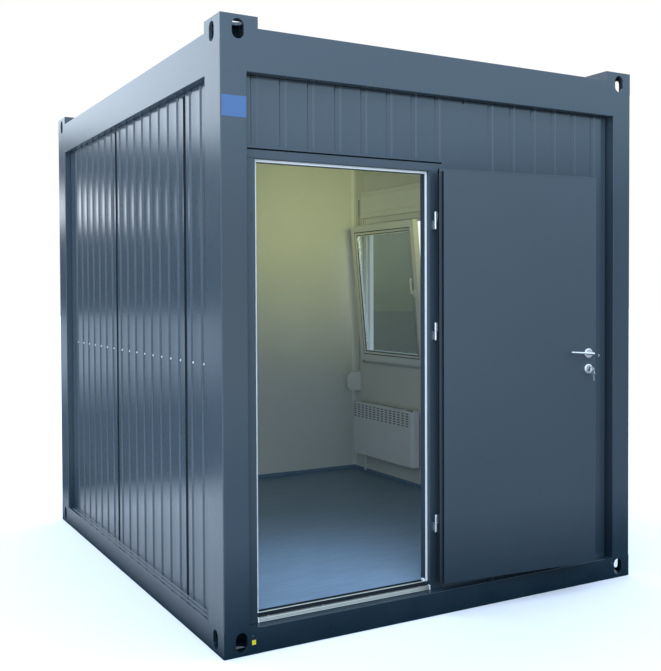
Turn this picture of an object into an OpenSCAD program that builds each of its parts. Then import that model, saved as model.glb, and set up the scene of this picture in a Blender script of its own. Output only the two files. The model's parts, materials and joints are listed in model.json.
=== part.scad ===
// Portable site cabin with a steel corner-post frame, ribbed wall panels,
// one outward opening door, one tilted window and a wall heater.
// Millimetres. The origin is the middle of the footprint at ground level,
// +Z is up and the door side faces -Y.

/* [Frame] */
// Outside width, left to right
cabin_w = 2435; // [2300:1:2600]
// Outside length, front to rear
cabin_l = 2989; // [2900:1:3200]
// Outside height, over the top corner fittings
cabin_h = 2800; // [2780:1:2900]
// Post face seen from the front
post_front_w = 125; // [115:1:140]
// Post face seen from the side
post_side_w = 185; // [180:1:210]
// Corner fitting width, seen from the front
fitting_w = 178; // [174:1:190]
// Corner fitting length, seen from the side
fitting_l = 186; // [182:1:200]
// Corner fitting height
fitting_h = 117; // [114:1:130]
// Wall thickness of a corner fitting
fitting_wall = 14; // [10:1:18]
// Thickness of a corner fitting's inner end
fitting_lid = 11; // [8:1:18]
// Width of the lifting holes in the fittings
hole_w = 56; // [46:1:60]
// Height of the lifting holes in the fittings
hole_h = 86; // [76:1:88]
// Lifting hole centre from the outer end of a fitting
hole_z = 62; // [60:1:64]
// Front lifting hole centre from the side of the cabin
hole_x = 84; // [76:1:92]
// Side lifting hole centre from the end of the cabin
hole_y = 98; // [90:1:104]
// Length of the slots in the top and bottom of the fittings
slot_l = 110; // [90:1:120]
// Width of the slots in the top and bottom of the fittings
slot_w = 60; // [50:1:64]
// Height of the floor rails' outer face
floor_rail_h = 117; // [110:1:117]
// Height of the roof rails
roof_rail_h = 194; // [150:1:220]
// Rise of the top fittings over the roof rails
fitting_rise = 50; // [30:1:60]

/* [Walls] */
// Depth from the frame's face to the inner lining
wall_depth = 110; // [104:1:130]
// Lining board thickness
lining_t = 12; // [8:1:16]
// Setback of the side and rear panels behind the frame's face
side_recess = 37; // [30:1:44]
// Setback of the front panels behind the frame's face
front_recess = 50; // [46:1:56]
// Wall panel module, joint to joint
panel_w = 1159; // [1100:1:1200]
// First joint of the side walls from the front
first_joint = 549; // [480:1:620]
// Groove pitch across a panel
groove_pitch = 141; // [130:1:150]
// Groove width
groove_w = 36; // [28:1:44]
// Groove depth
groove_d = 6; // [3:1:9]
// First groove from a panel's edge
groove_first = 87; // [70:1:100]
// Joint between panels, filled with a black seal
joint_gap = 10; // [6:1:14]
// Setback of the seal behind the panel face
seal_recess = 9; // [5:1:14]
// Gap between panel tops and the roof rails
top_gap = 16; // [8:1:22]
// Height of the stepped flashing on the side rails
flashing_h = 13; // [8:1:18]
// Reach of the flashing's upper step in front of the panels
flashing_lip = 4; // [2:1:8]
// Gap between two lining boards
board_gap = 2; // [1:0.5:4]

/* [Floor and roof] */
// Floor finish over the ground
floor_z = 155; // [150:1:170]
// Vinyl thickness
vinyl_t = 3; // [2:0.5:5]
// Height of the vinyl turned up the wall
upstand_h = 30; // [20:1:60]
// Floor deck thickness
deck_t = 22; // [18:1:28]
// Underside of the floor over the ground
belly_z = 20; // [10:1:30]
// Underfloor sheet thickness
belly_t = 2; // [1:0.5:4]
// Number of floor joists
joist_n = 5; // [3:1:7]
// Floor joist width
joist_w = 60; // [40:1:80]
// Ceiling below the top of the corner fittings
ceiling_depth = 180; // [150:1:210]
// Ceiling board thickness
ceiling_t = 12; // [8:1:16]
// Roof sheet below the roof rail tops
roof_drop = 34; // [20:1:48]
// Roof sheet thickness
roof_t = 3; // [2:0.5:5]
// Roof rib height
roof_rib_h = 20; // [12:1:24]
// Roof rib pitch
roof_rib_pitch = 250; // [200:1:300]
// Roof rib width
roof_rib_w = 60; // [40:1:90]
// Number of roof joists
roof_joist_n = 4; // [3:1:6]

/* [Door] */
// Hinge axis from the left side of the cabin
hinge_x = 1133; // [1100:1:1180]
// Hinge axis behind the frame's face
hinge_d = 20; // [18:1:24]
// Angle at which the door stands open
open_angle = 174.5; // [170:0.5:176]
// Leaf width without its lips
leaf_w = 924; // [880:1:940]
// Underside of the leaf
leaf_z = 160; // [158:1:176]
// Wall over the door frame, up to the panel tops
over_door_h = 309; // [260:1:420]
// Leaf's outer face behind the hinge axis
leaf_set = 5; // [4:1:6]
// Leaf thickness
leaf_t = 40; // [36:1:44]
// Lip thickness
lip_t = 20; // [14:1:24]
// Lip overlap beyond the leaf's core
lip_w = 13; // [10:1:16]
// Lip edge from the hinge axis
lip_gap = 8; // [8:1:12]
// Running gap around the closed leaf
leaf_gap = 5; // [5:0.5:7]
// Width of the frame's sealing ledge
ledge_w = 14; // [10:1:18]
// Seal thickness
door_seal_t = 2; // [1:0.5:3]
// Seal width
door_seal_w = 12; // [8:1:14]
// Height of the door frame's head
head_h = 39; // [30:1:50]
// Face width of the hinge jamb
hinge_jamb_w = 74; // [60:1:90]
// Gap over the door frame
head_gap = 6; // [4:1:10]
// Drip strip under the panel over the door
drip_h = 13; // [8:1:20]
// Drip strip projection
drip_d = 4; // [2:1:8]
// Threshold nose height
threshold_h = 22; // [16:1:24]
// Threshold nose depth
threshold_d = 14; // [10:1:20]
// Threshold nose setback from the frame's face
threshold_d0 = 47; // [40:1:49]
// Rises and falls of the threshold's ribbed nose
threshold_steps = 6; // [4:2:8]
// Wall joint on the door side, from the left side of the cabin
front_joint = 1325; // [1240:1:1400]
// First groove of the panel beside the door
front_groove = 167; // [120:1:180]
// First groove of the panel over the door
over_groove = 45; // [40:1:60]

/* [Hinges and lever] */
// Lowest hinge over the leaf's foot
hinge_low = 292; // [200:1:400]
// Highest hinge below the leaf's top
hinge_high = 240; // [160:1:300]
// Middle hinge below the highest one
hinge_mid = 545; // [300:1:700]
// Hinge barrel height
hinge_h = 82; // [60:1:100]
// Hinge barrel radius
barrel_r = 6.5; // [6:0.1:6.8]
// Hinge pin radius
pin_r = 4; // [3:0.1:4.5]
// Running clearance of the pin
pin_play = 0.05; // [0.02:0.01:0.1]
// Clear gap between the two knuckles of a hinge
knuckle_gap = 0.3; // [0.2:0.1:0.6]
// Hinge plate thickness
plate_t = 5; // [3:0.5:6]
// Fixed hinge plate beside the pin's axis
plate_set = 1; // [0:0.5:1.4]
// Lever spindle from the leaf's lock edge
backset = 51; // [45:1:65]
// Lever height over the ground
lever_z = 1270; // [1100:1:1300]
// Cylinder below the lever
cylinder_drop = 82; // [72:1:95]
// Rosette radius
rosette_r = 26; // [22:1:30]
// Rosette thickness
rosette_t = 8; // [6:1:10]
// Bend radius of the lever's middle line
bend_r = 16; // [14:1:20]
// Lever neck length beyond the rosette
neck_l = 42; // [34:1:48]
// Lever arm length from the spindle
arm_l = 128; // [100:1:140]
// Lever arm radius
arm_r = 8.5; // [7:0.5:10]
// Spindle radius through the leaf
spindle_r = 6; // [4:0.5:8]
// Clear gap around the spindle and neck
spindle_play = 0.5; // [0.3:0.1:1]
// Lock cylinder radius
lock_r = 9; // [7:0.5:11]
// Lock cylinder projection beyond its rosette
lock_l = 4; // [2:0.5:8]

/* [Window and heater] */
// Window's far edge from the rear post
window_off = 56; // [40:1:80]
// Window width
window_w = 945; // [900:1:960]
// Window sill over the ground
window_z = 1030; // [950:1:1100]
// Wall over the shutter box, up to the panel tops
over_window_h = 150; // [100:1:260]
// Wall strip between the window and the joint in front of it
beside_w = 95; // [60:1:140]
// Frame bar width
frame_bar = 60; // [50:1:70]
// Outer setback of the window frame
frame_out = 44; // [40:1:50]
// Depth of the window frame
frame_d = 52; // [46:1:60]
// Sash bar width
sash_bar = 74; // [60:1:90]
// Sash thickness
sash_t = 44; // [36:1:50]
// Sash overlap on the frame
sash_lap = 32; // [20:1:36]
// Tilt of the sash
sash_tilt = 5.2; // [3:0.1:8]
// Glass unit thickness
glass_t = 24; // [16:1:28]
// Width of the window handle's base plate
handle_base_w = 30; // [24:1:36]
// Thickness of the window handle's base plate
handle_base_t = 10; // [6:1:14]
// Width of the window handle's grip
grip_w = 21; // [16:1:24]
// Thickness of the window handle's grip
grip_t = 13; // [10:1:16]
// Length of the window handle's grip
grip_l = 124; // [100:1:140]
// Window handle's stand-off from the sash
grip_out = 36; // [30:1:44]
// Gap between mitred bars
bar_gap = 0.3; // [0.1:0.1:0.5]
// Shutter box height over the window
shutter_h = 210; // [160:1:220]
// Width of the shutter's guide rails
guide_w = 40; // [30:1:50]
// Depth of the shutter's guide rails
guide_d = 18; // [12:1:24]
// Height of the lath that shows under the shutter box
lath_h = 46; // [30:1:60]
// Lath behind the outer face of the guide rails
lath_set = 4.5; // [2:0.5:8]
// Shutter box projection into the room
shutter_out = 14; // [8:1:30]
// Strap centre beyond the window's far edge
strap_off = 44; // [30:1:60]
// Strap width
strap_w = 14; // [10:1:20]
// Strap thickness
strap_t = 2; // [1:0.5:3]
// Strap's upper end below the top of the shutter box
strap_drop = 70; // [40:1:120]
// Winder width
winder_w = 28; // [22:1:34]
// Winder projection
winder_d = 118; // [90:1:140]
// Winder height
winder_h = 148; // [120:1:180]
// Radius of the winder's corners on the room side
winder_r = 42; // [20:1:50]
// Winder underside over the ground
winder_z = 802; // [760:1:840]
// Heater's near edge beyond the window's near edge
heater_in = 102; // [0:1:120]
// Heater width
heater_w = 860; // [700:1:900]
// Heater underside over the ground
heater_z = 313; // [260:1:360]
// Heater height
heater_h = 410; // [360:1:450]
// Radius of the heater's front corners
heater_r = 24; // [10:1:30]
// Width of a heater bracket
bracket_w = 70; // [40:1:90]
// Heater case depth
heater_d = 62; // [50:1:80]
// Gap between heater and wall, held by its brackets
heater_off = 24; // [14:1:34]

/* [Hidden] */
$fn = 48;

anthracite = "#3b4a55";
dark = "#15181b";
offwhite = "#d9dbd6";
bright = "#c9ced2";
eps = 1;

rail_top = cabin_h - fitting_rise;
rail_low = rail_top - roof_rail_h;
post_z0 = fitting_h;
post_z1 = cabin_h - fitting_h;
panel_in = wall_depth - lining_t;
panel_z1 = rail_low - top_gap;
side_z0 = floor_rail_h + flashing_h;
front_z0 = max(floor_rail_h, fitting_h);
front_end = cabin_w - post_front_w;
side_end = cabin_l - post_side_w;
second_joint = first_joint + panel_w;
vinyl_z = floor_z - vinyl_t;
deck_z = vinyl_z - deck_t;
belly_top = belly_z + belly_t;
roof_z = rail_top - roof_drop - roof_rib_h;
ceiling_z = cabin_h - ceiling_depth;

// Closed leaf, with x from the left side and y behind the frame's face
core_x1 = hinge_x - lip_gap - lip_w;
core_x0 = core_x1 - leaf_w;
leaf_y0 = hinge_d + leaf_set;
leaf_y1 = leaf_y0 + leaf_t;
head_top = panel_z1 - over_door_h;
rebate_z = head_top - head_h;
leaf_top = rebate_z - leaf_gap;
rebate_x0 = core_x0 - leaf_gap;
rebate_x1 = core_x1 + leaf_gap;
clear_x0 = rebate_x0 + ledge_w;
clear_x1 = rebate_x1 - ledge_w;
clear_z = rebate_z - ledge_w;
ledge_y = leaf_y1 + leaf_gap + door_seal_t;
frame_y = leaf_y0 + lip_t + leaf_gap;
jamb_x1 = rebate_x1 + hinge_jamb_w;
over_z0 = head_top + head_gap;
lever_x = core_x0 + backset;
lock_z = lever_z - cylinder_drop;

hinge_top = leaf_top - hinge_high;
hinge_z = [leaf_z + hinge_low, hinge_top - hinge_mid, hinge_top];

window_y1 = side_end - window_off;
window_y = window_y1 - window_w;
right_joint = window_y - beside_w;
shutter_top = panel_z1 - over_window_h;
window_top = shutter_top - shutter_h;
window_h = window_top - window_z;
heater_y = window_y + heater_in;
sash_w = window_w - 2 * (frame_bar - sash_lap);
sash_h = window_h - 2 * (frame_bar - sash_lap) - sash_lap;
sash_y = window_y + frame_bar - sash_lap;
sash_z = window_z + frame_bar - sash_lap;
sash_d = frame_out + frame_d;
strap_y = window_y1 + strap_off;

// Put children into the centred frame from the front left ground corner
module placed() {
    translate([-cabin_w / 2, -cabin_l / 2, 0]) children();
}

// Wall space: x runs along the wall, y runs inwards from the frame's face
module on_side(side) {
    if (side == "front") children();
    if (side == "rear") translate([cabin_w, cabin_l, 0]) rotate(180) children();
    if (side == "left") mirror([1, -1, 0]) children();
    if (side == "right") translate([cabin_w, 0, 0]) rotate(90) children();
}

// Extrude a section drawn as depth and height along a wall
module along(from, to) {
    translate([from, 0, 0]) rotate([90, 0, 90]) linear_extrude(to - from) children();
}

// A box from its two corners
module block(a, b) {
    translate(a) cube(b - a);
}

// A slot as an exact solid: two round ends and the flat between them
module slot(length, width, depth) {
    half = (length - width) / 2;
    for (s = [-1, 1]) translate([s * half, 0, 0]) cylinder(d = width, h = depth);
    translate([-half, -width / 2, 0]) cube([2 * half, width, depth]);
}

// Copy a front left corner piece to all four corners
module four_corners() {
    for (mx = [0, 1], my = [0, 1])
        translate([mx * cabin_w, my * cabin_l, 0])
            mirror([mx, 0, 0]) mirror([0, my, 0]) children();
}

// Outer corner piece with holes in its two outer faces and its outer end
module fitting() {
    difference() {
        cube([fitting_w, fitting_l, fitting_h]);
        block([fitting_wall, fitting_wall, fitting_wall],
              [fitting_w - fitting_wall, fitting_l - fitting_wall, fitting_h - fitting_lid]);
        translate([hole_x, fitting_wall + eps, hole_z])
            rotate([90, 90, 0]) slot(hole_h, hole_w, fitting_wall + 2 * eps);
        translate([-eps, hole_y, hole_z])
            rotate([0, 90, 0]) slot(hole_h, hole_w, fitting_wall + 2 * eps);
        translate([fitting_w / 2, fitting_l / 2, -eps]) slot(slot_l, slot_w, fitting_wall + 2 * eps);
    }
}

module corner_posts() {
    color(anthracite) placed() four_corners()
        translate([0, 0, post_z0]) linear_extrude(post_z1 - post_z0) union() {
            square([post_front_w, panel_in]);
            square([panel_in, post_side_w]);
        }
}

// Section of a floor rail, stepped where a flashing sheds water off it
module floor_rail_section(recess, step) {
    tread = recess / 2;
    polygon([
        [0, 0], [0, floor_rail_h], [tread, floor_rail_h], [tread, floor_rail_h + step / 2],
        [recess - flashing_lip, floor_rail_h + step / 2], [recess - flashing_lip, floor_rail_h + step],
        [wall_depth, floor_rail_h + step], [wall_depth, 0]
    ]);
}

module fitting_blocks() {
    four_corners() {
        block([-eps, -eps, -eps], [fitting_w, fitting_l, fitting_h]);
        block([-eps, -eps, post_z1], [fitting_w, fitting_l, cabin_h + eps]);
    }
}

module floor_rails() {
    color(anthracite) placed() difference() {
        union() {
            for (side = ["left", "right"])
                on_side(side) along(post_side_w, side_end) floor_rail_section(side_recess, flashing_h);
            on_side("rear") along(post_front_w, front_end) floor_rail_section(side_recess, flashing_h);
            along(post_front_w, front_end) square([wall_depth, floor_rail_h]);
        }
        fitting_blocks();
    }
}

module roof_rails() {
    color(anthracite) placed() difference() {
        union() {
            for (side = ["left", "right"])
                on_side(side) block([post_side_w, 0, rail_low], [side_end, panel_in, rail_top]);
            for (side = ["front", "rear"])
                on_side(side) block([post_front_w, 0, rail_low], [front_end, panel_in, rail_top]);
        }
        fitting_blocks();
    }
}

module top_corner_fittings() {
    color(anthracite) placed() four_corners() translate([0, 0, cabin_h]) mirror([0, 0, 1]) fitting();
}

module bottom_corner_fittings() {
    color(anthracite) placed() four_corners() fitting();
}

module underfloor_sheet() {
    color(dark) placed() difference() {
        block([wall_depth, wall_depth, belly_z], [cabin_w - wall_depth, cabin_l - wall_depth, belly_top]);
        fitting_blocks();
    }
}

module floor_joists() {
    span = cabin_l - 2 * fitting_l - joist_w;
    color("#6d7478") placed() for (i = [0 : joist_n - 1])
        translate([wall_depth, fitting_l + span * i / (joist_n - 1), belly_top])
            cube([cabin_w - 2 * wall_depth, joist_w, deck_z - belly_top]);
}

module floor_deck() {
    color("#b59a72") placed()
        block([wall_depth, wall_depth, deck_z], [cabin_w - wall_depth, cabin_l - wall_depth, vinyl_z]);
}

// Vinyl sheet with strips turned up the walls, left out across the doorway
module floor_covering() {
    x1 = cabin_w - wall_depth;
    y1 = cabin_l - wall_depth;
    low = floor_z + bar_gap;
    top = floor_z + upstand_h;
    inner = wall_depth + vinyl_t;
    color("#8b98a3") placed() {
        block([wall_depth, wall_depth, vinyl_z], [x1, y1, floor_z]);
        block([wall_depth, wall_depth, low], [inner, y1, top]);
        block([x1 - vinyl_t, wall_depth, low], [x1, y1, top]);
        block([inner + bar_gap, y1 - vinyl_t, low], [x1 - vinyl_t - bar_gap, y1, top]);
        block([inner + bar_gap, wall_depth, low], [clear_x0, inner, top]);
        block([clear_x1, wall_depth, low], [x1 - vinyl_t - bar_gap, inner, top]);
    }
}

// Ribbed sheet: raised ribs run across the roof
module roof_sheet() {
    run = cabin_l - 2 * panel_in;
    n = floor((run - roof_rib_pitch) / roof_rib_pitch);
    first = (run - (n - 1) * roof_rib_pitch) / 2;
    slope = roof_rib_h / 2;
    under = roof_z - roof_t;
    ribs = [for (i = [0 : n - 1]) first + i * roof_rib_pitch];
    upper = [for (c = ribs) each [
        [c - roof_rib_w / 2, roof_z], [c - roof_rib_w / 2 + slope, roof_z + roof_rib_h],
        [c + roof_rib_w / 2 - slope, roof_z + roof_rib_h], [c + roof_rib_w / 2, roof_z]
    ]];
    color("#8f979c") placed() difference() {
        on_side("left") translate([panel_in, 0, 0]) rotate([90, 0, 0]) mirror([0, 0, 1])
            translate([0, 0, panel_in]) linear_extrude(cabin_w - 2 * panel_in)
                polygon(concat([[0, under], [0, roof_z]], upper, [[run, roof_z], [run, under]]));
        fitting_blocks();
    }
}

module roof_joists() {
    span = cabin_l - 2 * fitting_l - joist_w;
    z0 = ceiling_z + ceiling_t;
    color("#6d7478") placed() for (i = [0 : roof_joist_n - 1])
        translate([panel_in, fitting_l + span * i / (roof_joist_n - 1), z0])
            cube([cabin_w - 2 * panel_in, joist_w, roof_z - roof_t - z0]);
}

module ceiling() {
    color("#e3e4e0") placed()
        block([panel_in, panel_in, ceiling_z],
              [cabin_w - panel_in, cabin_l - panel_in, ceiling_z + ceiling_t]);
}

// Outline of a grooved panel between two ends of a wall
function groove_points(c, recess) = [
    [c - groove_w / 2, recess], [c - groove_w / 2 + groove_d, recess + groove_d],
    [c + groove_w / 2 - groove_d, recess + groove_d], [c + groove_w / 2, recess]
];

// Groove centres that keep a whole groove inside the panel
function groove_row(from, to, first) =
    [for (c = [from + first : groove_pitch : to - groove_w / 2 - groove_d]) c];

module grooved_panel(from, to, z0, z1, recess, first = groove_first) {
    face = [for (c = groove_row(from, to, first)) each groove_points(c, recess)];
    translate([0, 0, z0]) linear_extrude(z1 - z0)
        polygon(concat([[from, panel_in], [from, recess]], face, [[to, recess], [to, panel_in]]));
}

half_joint = joint_gap / 2;

module side_panel(side, from, to, z0 = side_z0, z1 = panel_z1, first = groove_first) {
    color(anthracite) placed() on_side(side) grooved_panel(from, to, z0, z1, side_recess, first);
}

// Part of a module that starts before the visible panel does
function cut_first(start, from) =
    let (skip = ceil((from + groove_w - start - groove_first) / groove_pitch))
    start + groove_first + skip * groove_pitch - from;

side_from = post_side_w + joint_gap;
side_to = side_end - joint_gap;

module left_wall_front() {
    side_panel("left", side_from, first_joint - half_joint,
        first = cut_first(first_joint - panel_w, side_from));
}

module left_wall_middle() {
    side_panel("left", first_joint + half_joint, second_joint - half_joint);
}

module left_wall_rear() {
    side_panel("left", second_joint + half_joint, side_to);
}

rear_from = post_front_w + joint_gap;
rear_to = front_end - joint_gap;
rear_joint = post_front_w + panel_w;

module rear_wall_left() {
    side_panel("rear", rear_joint + half_joint, rear_to);
}

module rear_wall_right() {
    side_panel("rear", rear_from, rear_joint - half_joint);
}

module right_wall_front() {
    side_panel("right", side_from, first_joint - half_joint,
        first = cut_first(first_joint - panel_w, side_from));
}

module right_wall_middle() {
    side_panel("right", first_joint + half_joint, right_joint - half_joint);
}

// Plain strips before and behind the window
module right_wall_strips() {
    color(anthracite) placed() on_side("right") {
        block([right_joint + half_joint, side_recess, side_z0], [window_y, panel_in, panel_z1]);
        block([window_y1, side_recess, side_z0], [side_to, panel_in, panel_z1]);
    }
}

// Grooved pieces under the window and over its shutter box
module right_wall_window_panels() {
    side_panel("right", window_y, window_y1, side_z0, window_z);
    side_panel("right", window_y, window_y1, shutter_top, panel_z1);
}

module front_wall_over_door() {
    from = post_front_w + joint_gap;
    to = front_joint - half_joint;
    color(anthracite) placed() union() {
        grooved_panel(from, to, over_z0 + drip_h, panel_z1, front_recess, over_groove);
        block([from, front_recess - drip_d, over_z0], [to, panel_in, over_z0 + drip_h]);
    }
}

module front_wall_hinge_side() {
    color(anthracite) placed()
        block([jamb_x1, front_recess, front_z0], [front_joint - half_joint, panel_in, over_z0]);
}

module front_wall_beside_door() {
    color(anthracite) placed()
        grooved_panel(front_joint + half_joint, front_end - joint_gap, front_z0, panel_z1,
            front_recess, front_groove);
}

// Lining boards stand between floor and ceiling with open joints
lining_z0 = vinyl_z;
side_lining_to = cabin_l - panel_in;

module lining_board(from, to, z0 = lining_z0, z1 = ceiling_z) {
    block([from, panel_in, z0], [to, wall_depth, z1]);
}

module left_lining() {
    color(offwhite) placed() on_side("left") {
        lining_board(panel_in, first_joint - board_gap / 2);
        lining_board(first_joint + board_gap / 2, second_joint - board_gap / 2);
        lining_board(second_joint + board_gap / 2, side_lining_to);
    }
}

module rear_lining() {
    color(offwhite) placed() on_side("rear") {
        lining_board(wall_depth, rear_joint - board_gap / 2);
        lining_board(rear_joint + board_gap / 2, cabin_w - wall_depth);
    }
}

module right_lining() {
    color(offwhite) placed() on_side("right") {
        lining_board(panel_in, first_joint - board_gap / 2);
        lining_board(first_joint + board_gap / 2, window_y - board_gap / 2);
        lining_board(window_y + board_gap / 2, window_y1 - board_gap / 2, z1 = window_z);
        lining_board(window_y + board_gap / 2, window_y1 - board_gap / 2, z0 = shutter_top);
        lining_board(window_y1 + board_gap / 2, side_lining_to);
    }
}

module front_lining() {
    color(offwhite) placed() {
        lining_board(wall_depth, jamb_x1 - board_gap / 2, z0 = head_top);
        lining_board(jamb_x1 + board_gap / 2, cabin_w - wall_depth);
    }
}

// Black seals that close each joint behind the panel faces
module upright_seal(side, from, to, recess, z0, z1) {
    on_side(side) block([from, recess + seal_recess, z0], [to, panel_in, z1]);
}

module wall_seals() {
    color(dark) placed() {
        for (side = ["left", "right"]) {
            rear_side_joint = side == "left" ? second_joint : right_joint;
            upright_seal(side, post_side_w, side_from, side_recess, side_z0, rail_low);
            upright_seal(side, side_to, side_end, side_recess, side_z0, rail_low);
            for (j = [first_joint, rear_side_joint])
                upright_seal(side, j - half_joint, j + half_joint, side_recess, side_z0, rail_low);
            for (run = [[side_from, first_joint - half_joint],
                        [first_joint + half_joint, rear_side_joint - half_joint],
                        [rear_side_joint + half_joint, side_to]])
                upright_seal(side, run[0], run[1], side_recess + groove_d, panel_z1, rail_low);
        }
        upright_seal("rear", post_front_w, rear_from, side_recess, side_z0, rail_low);
        upright_seal("rear", rear_to, front_end, side_recess, side_z0, rail_low);
        upright_seal("rear", rear_joint - half_joint, rear_joint + half_joint,
            side_recess, side_z0, rail_low);
        for (run = [[rear_from, rear_joint - half_joint], [rear_joint + half_joint, rear_to]])
            upright_seal("rear", run[0], run[1], side_recess + groove_d, panel_z1, rail_low);
        upright_seal("front", post_front_w, rear_from, front_recess, over_z0, rail_low);
        upright_seal("front", rear_to, front_end, front_recess, front_z0, rail_low);
        upright_seal("front", front_joint - half_joint, front_joint + half_joint,
            front_recess, front_z0, rail_low);
        for (run = [[rear_from, front_joint - half_joint], [front_joint + half_joint, rear_to]])
            upright_seal("front", run[0], run[1], front_recess + groove_d, panel_z1, rail_low);
        upright_seal("front", post_front_w, jamb_x1, front_recess, head_top, over_z0);
    }
}

// Jamb with its front part and the deeper ledge that carries the seal
module door_frame_left() {
    color(anthracite) placed() union() {
        block([post_front_w, frame_y, front_z0], [rebate_x0, ledge_y, rebate_z]);
        block([post_front_w, ledge_y, front_z0], [clear_x0, wall_depth, clear_z]);
    }
}

module door_frame_right() {
    color(anthracite) placed() union() {
        block([rebate_x1, frame_y, front_z0], [jamb_x1, ledge_y, rebate_z]);
        block([clear_x1, ledge_y, front_z0], [jamb_x1, wall_depth, clear_z]);
    }
}

module door_frame_head() {
    color(anthracite) placed() along(post_front_w, jamb_x1)
        polygon([[frame_y, rebate_z], [ledge_y, rebate_z], [ledge_y, clear_z],
                 [wall_depth, clear_z], [wall_depth, head_top], [frame_y, head_top]]);
}

// Ribbed nose, gutter and back step up to the floor finish
module door_threshold() {
    nose = floor_rail_h + threshold_h;
    rib = threshold_h / (threshold_steps + 1);
    color(bright) placed() union() {
        along(rebate_x0, rebate_x1) polygon(concat(
            [[ledge_y, floor_rail_h], [threshold_d0 + rib, floor_rail_h]],
            [for (i = [1 : threshold_steps]) [threshold_d0 + (i % 2 == 1 ? 0 : rib), floor_rail_h + i * rib]],
            [[threshold_d0 + rib, nose], [threshold_d0 + threshold_d, nose],
             [threshold_d0 + threshold_d, nose - rib], [ledge_y, nose - rib]]));
        along(clear_x0, clear_x1)
            polygon([[ledge_y, floor_rail_h], [wall_depth, floor_rail_h], [wall_depth, floor_z],
                     [ledge_y + 2 * rib, floor_z], [ledge_y, nose - rib]]);
    }
}

// White seal on the ledge of the jambs and the head
module door_seal() {
    inset = (ledge_w - door_seal_w) / 2;
    y0 = ledge_y - door_seal_t;
    z0 = floor_z;
    z1 = clear_z + inset + door_seal_w;
    color("white") placed() union() {
        block([rebate_x0 + inset, y0, z0], [rebate_x0 + inset + door_seal_w, ledge_y, z1]);
        block([rebate_x1 - inset - door_seal_w, y0, z0], [rebate_x1 - inset, ledge_y, z1]);
        block([rebate_x0 + inset, y0, clear_z + inset], [rebate_x1 - inset, ledge_y, z1]);
    }
}

// The door is drawn closed and swung to where it stands open
module swung() {
    placed() translate([hinge_x, hinge_d, 0]) rotate(open_angle)
        translate([-hinge_x, -hinge_d, 0]) children();
}

module through_leaf(x, z, r) {
    translate([x, leaf_y0 - eps, z]) rotate([-90, 0, 0]) cylinder(r = r, h = leaf_t + 2 * eps);
}

module door_leaf() {
    color(anthracite) swung() difference() {
        union() {
            block([core_x0, leaf_y0, leaf_z], [core_x1, leaf_y1, leaf_top]);
            block([core_x0 - lip_w, leaf_y0, leaf_z], [core_x1 + lip_w, leaf_y0 + lip_t, leaf_top + lip_w]);
        }
        through_leaf(lever_x, lever_z, spindle_r + spindle_play);
    }
}

// Lower knuckle with its pin, on a plate that stands on the jamb
module hinge_fixed(z) {
    half = hinge_h / 2;
    translate([hinge_x, hinge_d, z - half]) union() {
        cylinder(r = barrel_r, h = half);
        cylinder(r = pin_r, h = hinge_h - plate_t);
        translate([plate_set, 0, 0]) cube([plate_t, frame_y - hinge_d, half]);
    }
}

module door_hinges_fixed() {
    color(bright) placed() for (z = hinge_z) hinge_fixed(z);
}

// Upper knuckle with a blind bore, on a plate let into the lip's edge
module hinge_moving(z) {
    half = hinge_h / 2;
    low = knuckle_gap;
    translate([hinge_x, hinge_d, z]) difference() {
        union() {
            translate([0, 0, low]) cylinder(r = barrel_r, h = half - low);
            translate([-lip_gap, 0, low]) cube([lip_gap, plate_t, half - low]);
            translate([-lip_gap - plate_t, 0, low]) cube([plate_t, leaf_y0 - hinge_d, half - low]);
        }
        translate([0, 0, -eps]) cylinder(r = pin_r + pin_play, h = half - plate_t + eps + pin_play);
    }
}

module door_hinges_moving() {
    color(bright) swung() for (z = hinge_z) hinge_moving(z);
}

// One lever: a bar bent from the neck into an arm that points to the hinges
module lever_half() {
    reach = rosette_t + neck_l;
    rise = reach - arm_r - bend_r;
    cylinder(r = arm_r, h = rise);
    translate([bend_r, 0, rise]) rotate([90, 0, 180]) rotate_extrude(angle = 90)
        translate([bend_r, 0]) circle(r = arm_r);
    translate([bend_r, 0, rise + bend_r]) rotate([0, 90, 0]) cylinder(r = arm_r, h = arm_l - bend_r);
}

// Both levers on their spindle; z of a half runs away from the leaf
module door_lever() {
    out = spindle_play;
    color(bright) swung() translate([lever_x, 0, lever_z]) union() {
        translate([0, leaf_y0 - out, 0]) rotate([90, 0, 0]) lever_half();
        translate([0, leaf_y1 + out, 0]) mirror([0, 1, 0]) rotate([90, 0, 0]) lever_half();
        translate([0, leaf_y0 - out - eps, 0]) rotate([-90, 0, 0])
            cylinder(r = spindle_r, h = leaf_t + 2 * out + 2 * eps);
    }
}

// Rosettes of the lever and of the lock cylinder on both faces
module rosettes() {
    difference() {
        translate([lever_x, 0, lever_z]) rotate([90, 0, 0]) cylinder(r = rosette_r, h = rosette_t);
        translate([lever_x, eps, lever_z]) rotate([90, 0, 0])
            cylinder(r = arm_r + spindle_play, h = rosette_t + 2 * eps);
    }
    translate([lever_x, 0, lock_z]) rotate([90, 0, 0]) cylinder(r = rosette_r, h = rosette_t);
    translate([lever_x, 0, lock_z]) rotate([90, 0, 0]) cylinder(r = lock_r, h = rosette_t + lock_l);
}

module door_lock_plates() {
    color(bright) swung() {
        translate([0, leaf_y0, 0]) rosettes();
        translate([0, leaf_y1, 0]) mirror([0, 1, 0]) rosettes();
    }
}

// Four bars around an opening: the uprights stand between the level bars
module bar_ring(width, height, bar, depth) {
    cube([width, depth, bar]);
    translate([0, 0, height - bar]) cube([width, depth, bar]);
    for (x = [0, width - bar])
        translate([x, 0, bar + bar_gap]) cube([bar, depth, height - 2 * bar - 2 * bar_gap]);
}

module window_frame() {
    color("white") placed() on_side("right") translate([window_y, frame_out, window_z])
        bar_ring(window_w, window_h, frame_bar, frame_d);
}

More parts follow.
